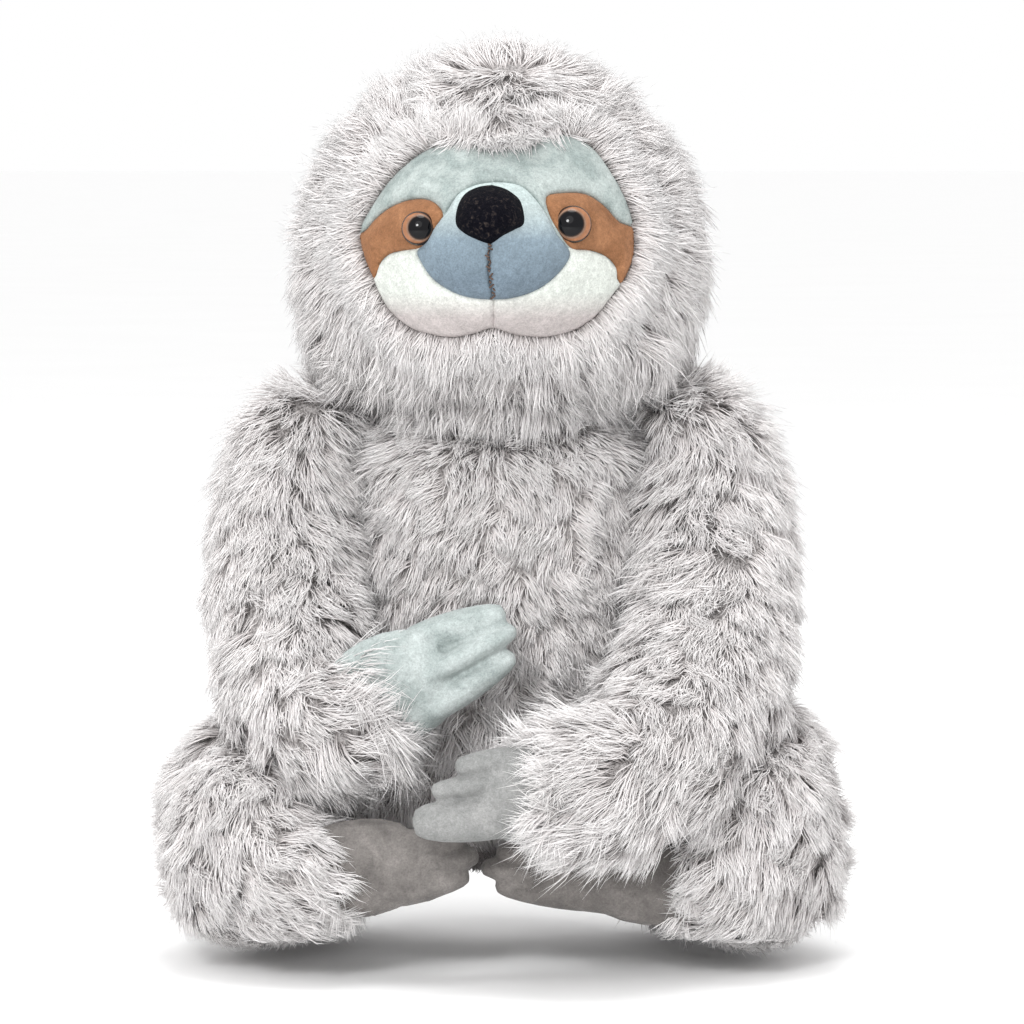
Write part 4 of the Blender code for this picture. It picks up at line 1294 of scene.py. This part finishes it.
def face_edge_clumps(skin_tree):
    """Clumps that stand out of the seam all round the face and lean away from it."""
    line = evenly(face_line, EDGE_SPACING)
    ahead = np.roll(line, -1, axis=0) - np.roll(line, 1, axis=0)
    outward = unit(np.stack((ahead[:, 1], -ahead[:, 0]), axis=1))
    outward *= np.sign(np.sum(outward * (line - np.array(FACE_PIXEL)), axis=1, keepdims=True))
    pixels = np.concatenate([
        line + outward * step + rng.normal(0.0, 0.8, line.shape) for step, _ in EDGE_ROWS
    ])
    lift = np.concatenate([np.full(len(line), lift) for _, lift in EDGE_ROWS])
    outward = np.tile(outward, (len(EDGE_ROWS), 1))
    hits = [skin_tree.ray_cast(CAMERA_SPOT, Vector(way))[0] for way in sight_lines(pixels)]
    seen = np.array([hit is not None for hit in hits])
    pixels, outward, lift = pixels[seen], outward[seen], lift[seen]
    roots = np.array([tuple(hit) for hit in hits if hit is not None])
    normals = unit(roots - HEAD_MIDDLE)
    away = outward[:, :1] * np.array((1.0, 0.0, 0.0)) - outward[:, 1:] * np.array(UP)
    away = away + np.array((0.0, 0.0, -0.25))
    parting = (np.abs(pixels[:, 0] - PARTING_PIXEL[0]) < PARTING_HALF) & (pixels[:, 1] < PARTING_PIXEL[1])
    away = np.where(parting[:, None], np.array(PARTING_FLOW), away)
    count = len(roots)
    return {
        "roots": roots, "normals": normals,
        "flow": spun(flattened(away, normals), normals, rng.normal(0.0, 0.25, count)),
        "pull": np.zeros((count, 3)), "lengths": rng.uniform(*EDGE_LENGTHS, count),
        "lift": lift + rng.normal(0.0, 6.0, count), "tones": 0.55 + rng.normal(0.0, 0.1, count),
        "phase": rng.uniform(0.0, 2.0 * math.pi, count),
    }


def fringe_share(points):
    """How much a point belongs to the tuft that falls from the crown onto the forehead."""
    half = np.interp(points[:, 2], FRINGE_HEIGHTS, FRINGE_HALVES)
    across = falling(np.abs(points[:, 0] - FRINGE_X), 0.5 * half, 1.3 * half)
    height = rising(points[:, 2], *FRINGE_START) * falling(points[:, 2], *FRINGE_END)
    return across * height * falling(points[:, 1], *FRINGE_DEPTHS)


def head_flow(points, normals):
    """Away from the face all round, back over the crown and down behind."""
    spots = points - np.array((0.0, HEAD_MIDDLE[1], FLOW_HEIGHT))
    ways = unit(spots * np.array((1.0, 0.0, 1.0)))
    flow = ways + np.array((0.0, 0.35, -0.10))
    low = rising(-spots[:, 2], -0.01, 0.05)[:, None]
    flow = flow * (1.0 - 0.5 * low) + np.array((0.0, 0.0, -0.8)) * low + ways * 0.4 * low
    behind = rising(spots[:, 1], 0.015, 0.05)[:, None]
    flow = flow * (1.0 - behind) + np.array((0.0, 0.15, -1.0)) * behind
    fringe = fringe_share(points)[:, None]
    tousled = falling(points[:, 2], *TOUSLE_HEIGHTS) * swirl(points, TOUSLE_SIZE)
    tuft = np.array(FRINGE_FLOW) + np.array((1.1, 0.0, 0.3)) * tousled[:, None]
    tuft[:, 0] += np.clip((points[:, 0] - FRINGE_X) / FRINGE_HALVES[1], -1.0, 1.0) * 0.9
    return flow * (1.0 - fringe) + tuft * fringe


def head_stand(points):
    """Fur stands up where the flow parts, beside and above the fringe."""
    fringe = fringe_share(points)
    crown = falling(np.linalg.norm(points - np.array(CROWN), axis=1), *CROWN_REACH)
    under = falling(np.degrees(tilt_of(unit(points - HEAD_MIDDLE))), 38.0, 60.0)
    return 16.0 * fringe * (1.0 - fringe) + 10.0 * crown + 38.0 * under


def head_length(points):
    spots = points - HEAD_MIDDLE
    front = falling(spots[:, 1], -0.03, 0.02)
    near_face = falling(edge_distance(face_line, pixel_of(points)), 2.0, 34.0)
    jowl = rising(-spots[:, 2], 0.010, 0.035)
    under = rising(-spots[:, 2], 0.045, 0.053)
    return HEAD_LENGTH - 0.004 * near_face * front + 0.007 * jowl - 0.008 * under


def head_keep(points):
    """Fur outside the face and outside the seat of the neck."""
    pixels = pixel_of(points)
    inside = within(face_line, pixels)
    on_face = (points[:, 1] < HEAD_MIDDLE[1]) & inside & (edge_distance(face_line, pixels) > 1.0)
    bare = np.radians(np.interp(points[:, 1], (0.010, 0.040), (24.0, 40.0)))
    return ~on_face & ~(tilt_of(unit(points - HEAD_MIDDLE)) < bare)


def torso_flow(points, normals):
    """Away from the neck on top, then down and a little outwards."""
    top = rising(normals[:, 2], 0.25, 0.75)[:, None]
    around = unit((points - HEAD_MIDDLE) * np.array((1.0, 1.0, 0.0)))
    side = np.clip(points[:, 0] / 0.04, -1.0, 1.0)
    down = np.stack((0.40 * side, np.full(len(points), -0.05), np.full(len(points), -1.0)), axis=1)
    return down * (1.0 - top) + (around + down * 0.3) * top


def torso_corner(points):
    """How much a point belongs to the torso's two upper corners."""
    return rising(points[:, 2], 0.182, 0.196) * rising(np.abs(points[:, 0]), 0.030, 0.046)


def torso_length(points):
    bottom = falling(points[:, 2], 0.030, 0.060)
    return TORSO_LENGTH + 0.008 * torso_corner(points) - 0.008 * bottom


def torso_stand(points):
    rim = rising(points[:, 2], 0.184, 0.194) * falling(points[:, 1], 0.010, 0.030)
    return 40.0 * np.maximum(torso_corner(points), 0.5 * rim)


def torso_keep(points):
    return np.linalg.norm(points - HEAD_MIDDLE, axis=1) > NECK_CUP + 0.0012


# How the limbs' fur lies

LIMB_STEPS = 60
LIMB_LENGTH = 0.0165
CUFF_GROWTH = {"arm_right": 0.009, "arm_left": 0.009, "leg_right": 0.001, "leg_left": 0.001}
INWARD = {"arm_right": 0.4, "arm_left": 0.8}
LIMB_FALL = {
    "arm_right": (0.55, 0.75), "arm_left": (0.50, 0.20), "leg_right": (0.30, 0.35), "leg_left": (0.30, 0.35),
}


def along_limb(line):
    """A limb's middle line in short steps: points and headings."""
    line = np.asarray(line)
    places = np.linspace(0.0, len(line) - 1.0, LIMB_STEPS)
    spots = np.stack([np.interp(places, np.arange(len(line)), line[:, k]) for k in range(3)], axis=1)
    return spots, unit(np.gradient(spots, axis=0))


def place_on_limb(spots, points):
    """Each point's share along a limb's middle line, the nearest step and its way off it."""
    nearest = np.argmin(np.linalg.norm(points[:, None, :] - spots[None, :, :], axis=2), axis=1)
    return nearest / (len(spots) - 1.0), nearest, unit(points - spots[nearest])


def inner_front(away, share, side):
    """How much a point faces the other arm or the front, on the upper arm."""
    facing = np.clip(-side * away[:, 0] - 0.6 * away[:, 1], 0.0, 1.0)
    return facing * rising(share, 0.06, 0.20) * falling(share, 0.50, 0.68)


def limb_rules(limb):
    """The flow, length and stand of a limb's fur, which grows all over it."""
    spots, ways = along_limb(LIMB_LINES[limb])
    side = side_of(limb)

    def flow(points, normals):
        share, nearest, away = place_on_limb(spots, points)
        fall = np.interp(share, (0.6, 0.9), LIMB_FALL[limb])[:, None]
        rows = ways[nearest] + np.array((0.0, 0.0, -1.0)) * fall + away * np.array((0.35, 0.1, 0.0))
        top = rising(normals[:, 2], 0.3, 0.8) * falling(share, 0.15, 0.3)
        rows += top[:, None] * np.array((0.9 * side, -0.5, 0.0))
        if limb in INWARD:
            rows[:, 0] -= side * INWARD[limb] * inner_front(away, share, side)
        else:
            rows[:, 0] += 0.25 * np.sign(points[:, 0])
        return rows

    def length(points):
        share, _, away = place_on_limb(spots, points)
        cuff = CUFF_GROWTH[limb] * rising(share, 0.72, 0.92)
        low = rising(-points[:, 2], -0.024, -0.008)
        inner = 0.006 * INWARD.get(limb, 0.0) * inner_front(away, share, side)
        top = 0.004 * falling(share, 0.0, 0.2)
        return (LIMB_LENGTH + top + cuff + inner) * (1.0 - 0.55 * low)

    def stand(points):
        if limb not in INWARD:
            return np.zeros(len(points))
        share, _, away = place_on_limb(spots, points)
        return 12.0 * inner_front(away, share, side) + 10.0 * rising(points[:, 2], 0.192, 0.210)

    return flow, length, stand, None


def tree_of(obj):
    verts, _, tris = read_mesh(obj.data)
    return BVHTree.FromPolygons([Vector(v) for v in verts], [tuple(int(i) for i in t) for t in tris])


def node_of(body, part):
    """The CAD node of a body's part, such as arm_cover_left."""
    kind, _, word = body.partition("_")
    return f"{kind}_{part}_{word}" if word else f"{kind}_{part}"


def make_neck(backing):
    neck = make_skin("neck_backing", "neck_stuffing", backing)
    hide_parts("neck_stuffing")
    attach(neck, "neck")


def dress(backing, piles):
    """All skins and their fur."""
    skins = {
        body: make_skin(f"{body}_backing", node_of(body, "stuffing"), backing, body) for body in BODIES
    }
    make_neck(backing)
    trees = {body: tree_of(skin) for body, skin in skins.items()}
    for body, skin in skins.items():
        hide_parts(node_of(body, "cover"), node_of(body, "stuffing"))
        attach(skin, body)
        others = [tree for name, tree in trees.items() if name != body]
        extra = None
        if body == "head":
            rules = (head_flow, head_length, head_stand, head_keep)
            extra = face_edge_clumps(trees["head"])
        elif body == "torso":
            rules = (torso_flow, torso_length, torso_stand, torso_keep)
        else:
            rules = limb_rules(body)
        make_fur(body, skin, others, piles.get(body, piles["limb"]), rules, extra)


# Stage

FLOOR_CORNERS = ((-20.0, -6.0, 0.0), (20.0, -6.0, 0.0), (20.0, 60.0, 0.0), (-20.0, 60.0, 0.0))
LIGHTS = (
    ("front_light", (-0.25, -1.9, 1.25), 1.4, 6.5),
    ("window_light", (-0.50, -1.8, 1.00), 0.42, 17.0),
    ("top_light", (0.1, -0.2, 1.9), 1.0, 13.0),
)


def make_light(name, spot, size, power):
    light = bpy.data.lights.new(name, "AREA")
    light.shape = "DISK"
    light.size = size
    light.energy = power
    made = placed(name, light)
    made.location = spot
    made.rotation_euler = (AIM - Vector(spot)).to_track_quat("-Z", "Y").to_euler()


def make_stage():
    mesh_object("studio_floor", FLOOR_CORNERS, [(0, 1, 2, 3)], floor_material())
    world = bpy.data.worlds.new("studio")
    world.use_nodes = True
    background = world.node_tree.nodes["Background"]
    background.inputs["Color"].default_value = (1.0, 1.0, 1.0, 1.0)
    background.inputs["Strength"].default_value = 1.0
    bpy.context.scene.world = world
    bpy.context.scene.view_settings.view_transform = "Standard"
    for light in LIGHTS:
        make_light(*light)


def make_camera():
    data = bpy.data.cameras.new("view")
    data.sensor_width = SENSOR
    data.lens = LENS
    data.shift_x = (PICTURE / 2.0 - AIM_PIXEL[0]) / PICTURE
    data.shift_y = (AIM_PIXEL[1] - PICTURE / 2.0) / PICTURE
    made = placed("view", data)
    made.location = CAMERA_SPOT
    made.rotation_euler = SIGHT_AHEAD.to_track_quat("-Z", "Y").to_euler()
    bpy.context.scene.camera = made


make_camera()
make_stage()
make_face({
    "mint_velour": velour_material("mint_nap", MINT),
    "brown_velour": velour_material("brown_nap", BROWN, 0.08),
    "blue_velour": velour_material("blue_nap", NEUTRAL, 0.10, MUZZLE_FADE),
    "white_velour": velour_material("white_nap", NEUTRAL, 0.10, CHEEK_FADE),
})
make_nose(nose_material())
make_mouth(thread_material())
for side_word in SIDES:
    make_eye(side_word)
make_mitten("hand", "right", velour_material("hand_nap", HAND))
make_mitten("hand", "left", velour_material("paw_nap", PAW))
# The soles' velour, darkened as painted shade
sole = velour_material("shaded_sole_nap", SHADED_SOLE)
for side_word in SIDES:
    make_mitten("foot", side_word, sole)
dress(backing_material(), {
    "limb": fur_material("long_pile", BODY_SHADE),
    "head": fur_material("head_pile", HEAD_SHADE),
    "torso": fur_material("torso_pile", BODY_SHADE, seat_shade),
})
washer_finish = washer_material()
for side_word in SIDES:
    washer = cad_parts[f"eye_washer_{side_word}"]
    washer.data.materials.clear()
    washer.data.materials.append(washer_finish)
